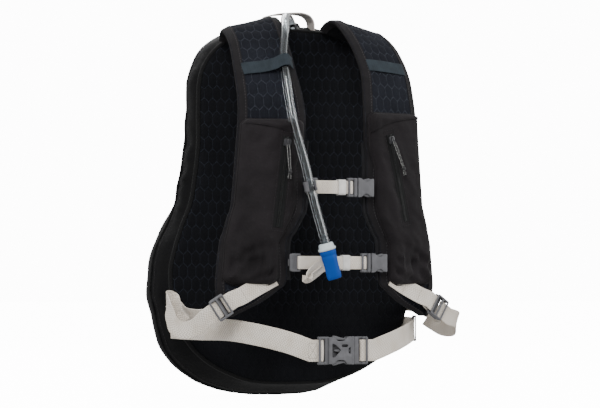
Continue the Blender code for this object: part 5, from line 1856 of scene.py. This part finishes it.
def build_main_zipper():
    y = 0.1503
    path = [at(0, y + 0.0004, 0.1 + 0.21 * i / 30) for i in range(31)]
    strip("main_zip_tape", path, X, 0.026, 0.0008, TAPE, "pack", "main_zipper")
    top = at(0, y + 0.0008, 0.31)
    coil_teeth("main_zip_teeth", top, X, Y, -Z, 0.208, 0.0024, 0.0017)
    for side in (-1, 1):
        line = [at(side * 0.0105, y + 0.0009, 0.103 + 0.204 * i / 20) for i in range(21)]
        stitches(f"main_zip_stitch_{'ab'[side > 0]}", line, [Y] * 21, 0.0036, 0.0025, THREAD)
    spot = at(0, y + 0.0026, 0.296)
    outline = rounded([(-4.0, -7), (4.0, -7), (6, 2), (4.6, 7), (-4.6, 7), (-6, 2)], 1.5)
    parts = [
        plate(
            "main_slider_top", [outline], (spot + Y * 0.001, X, Z, Y), 1.6, 0.5, METAL, "main_zip_slider",
            "main_zip_slider"
        )
    ]
    for sign in (-1, 1):
        edge = oblong(sign * 4.6, 0.5, 0.9, 5.0, 0.5)
        parts.append(
            plate(
                f"main_slider_edge_{sign + 1}", [edge], (spot - Y * 0.0002, X, Z, Y), 2.0, 0.3, METAL,
                "main_zip_slider", ()
            )
        )
    joined("main_slider_body", parts)
    hang = at(0, y + 0.0062, 0.3)
    tab = rounded([(-3.2, 1.2), (3.2, 1.2), (4.4, -28), (2.6, -31), (-2.6, -31), (-4.4, -28)], 1.2)
    holes = [oblong(0, -1.0, 1.6, 1.0, 0.6), oblong(0, -24, 1.8, 3.2, 1.2)]
    plate(
        "main_pull_tab", [tab] + holes, (hang, X, Z, Y), 1.6, 0.5, METAL, "main_zip_pull", "main_zip_pull",
    )


def oval(hx, hy, height, power, sides=48):
    out = []
    for i in range(sides):
        c, s = math.cos(math.tau * i / sides), math.sin(math.tau * i / sides)
        x = math.copysign(abs(c) ** (2 / power), c) * hx
        y = math.copysign(abs(s) ** (2 / power), s) * hy
        out.append(at(x, 0.04 + y, height))
    return out


def build_water():
    rows = [
        (0.046, 0.054, 0.008, 3.0), (0.062, 0.08, 0.02, 3.0), (0.15, 0.086, 0.023, 3.0),
        (0.285, 0.08, 0.021, 3.0), (0.324, 0.03, 0.0205, 2.0), (0.33, 0.02, 0.02, 2.0),
    ]
    rings = []
    for h, hx, hy, p in curve_rows(rows, 5):
        ring = []
        for q in oval(hx, hy, h, p):
            soft = 0.0012 * noise.noise(q * 30) * (1 - ease(h, 0.29, 0.32))
            ring.append(q + Vector((q.x, (q.y - 0.04) * 2, 0)).normalized() * soft)
        rings.append(ring)
    rings += [oval(0.02, 0.02, h, 2.0) for h in (0.332, 0.3345, 0.337, 0.348)]
    body = piece(
        "reservoir_film", [p for r in rings for p in r],
        loft_faces(len(rings), 48, False, False) + [tuple(range(48))], FILM, "pack", "water_reservoir",
    )
    outward(body)
    give_wall(body, 0.001)


def build_cap():
    """The reservoir's screw cap, with grips round its side."""
    grips = [(math.tau * i / 96, 0.025 - 0.0006 * (i % 4 == 0)) for i in range(96)]
    profile = [
        (0.3505, -0.0212), (0.3505, -0.0046), (0.3372, -0.0046), (0.3372, -0.0004), (0.338, 0),
        (0.3525, 0), (0.3543, -0.001), (0.3552, -0.0025), (0.3552, -0.01),
    ]
    rings = []
    for h, shrink in profile:
        rings.append([at((r + shrink) * math.cos(t), 0.04 + (r + shrink) * math.sin(t), h) for t, r in grips])
    lofted("cap_moulding", rings, BLUE_CAP, "reservoir_cap", "reservoir_cap")


def build_outlet():
    """The outlet at the reservoir's foot, and the tube from it up to the bag's port."""
    rows = [
        (0, 0.006), (0.001, 0.0078), (0.004, 0.008), (0.0046, 0.0072), (0.007, 0.0072), (0.0076, 0.008),
        (0.012, 0.008), (0.0138, 0.0062), (0.0155, 0.005)
    ]
    turned(
        "outlet_fitting", at(0.042, 0.04, 0.03), Z, rows, BLACK_PLASTIC, "pack", "reservoir_outlet",
    )
    route = [
        at(0.0505, 0.04, 0.036), at(0.06, 0.0402, 0.036), at(0.066, 0.0405, 0.0365), at(0.088, 0.042, 0.046),
        at(0.103, 0.045, 0.072), at(0.108, 0.048, 0.11), at(0.106, 0.05, 0.18), at(0.104, 0.05, 0.25),
        at(0.099, 0.048, 0.3), at(0.086, 0.05, 0.345), at(0.063, 0.052, 0.38), at(0.036, 0.048, 0.405),
        PORT_AT - PORT_WAY * 0.0142, PORT_AT - PORT_WAY * 0.0002,
    ]
    rod("inner_hose", smooth(route, 8), TUBE_R, HOSE, "pack", 20, "inner_tube")


# ---------------------------------------------------------------- build

build_panel()
build_panel_binding()
build_gusset(build_shell())
build_port()
build_haul_loop()
for side, name in SIDES:
    build_pad(side, name)
    build_elastic_loop(side, name)
    build_rail(side, name)
    build_pocket(side, name)
    build_zipper(side, name)
    build_lower_webbing(side, name)
build_sternum("upper", UPPER_H)
build_sternum("lower", LOWER_H)
build_waist()
build_triglide()
hose, hose_line = build_hose()
build_clip()
build_valve()
build_main_zipper()
build_water()
build_cap()
build_outlet()
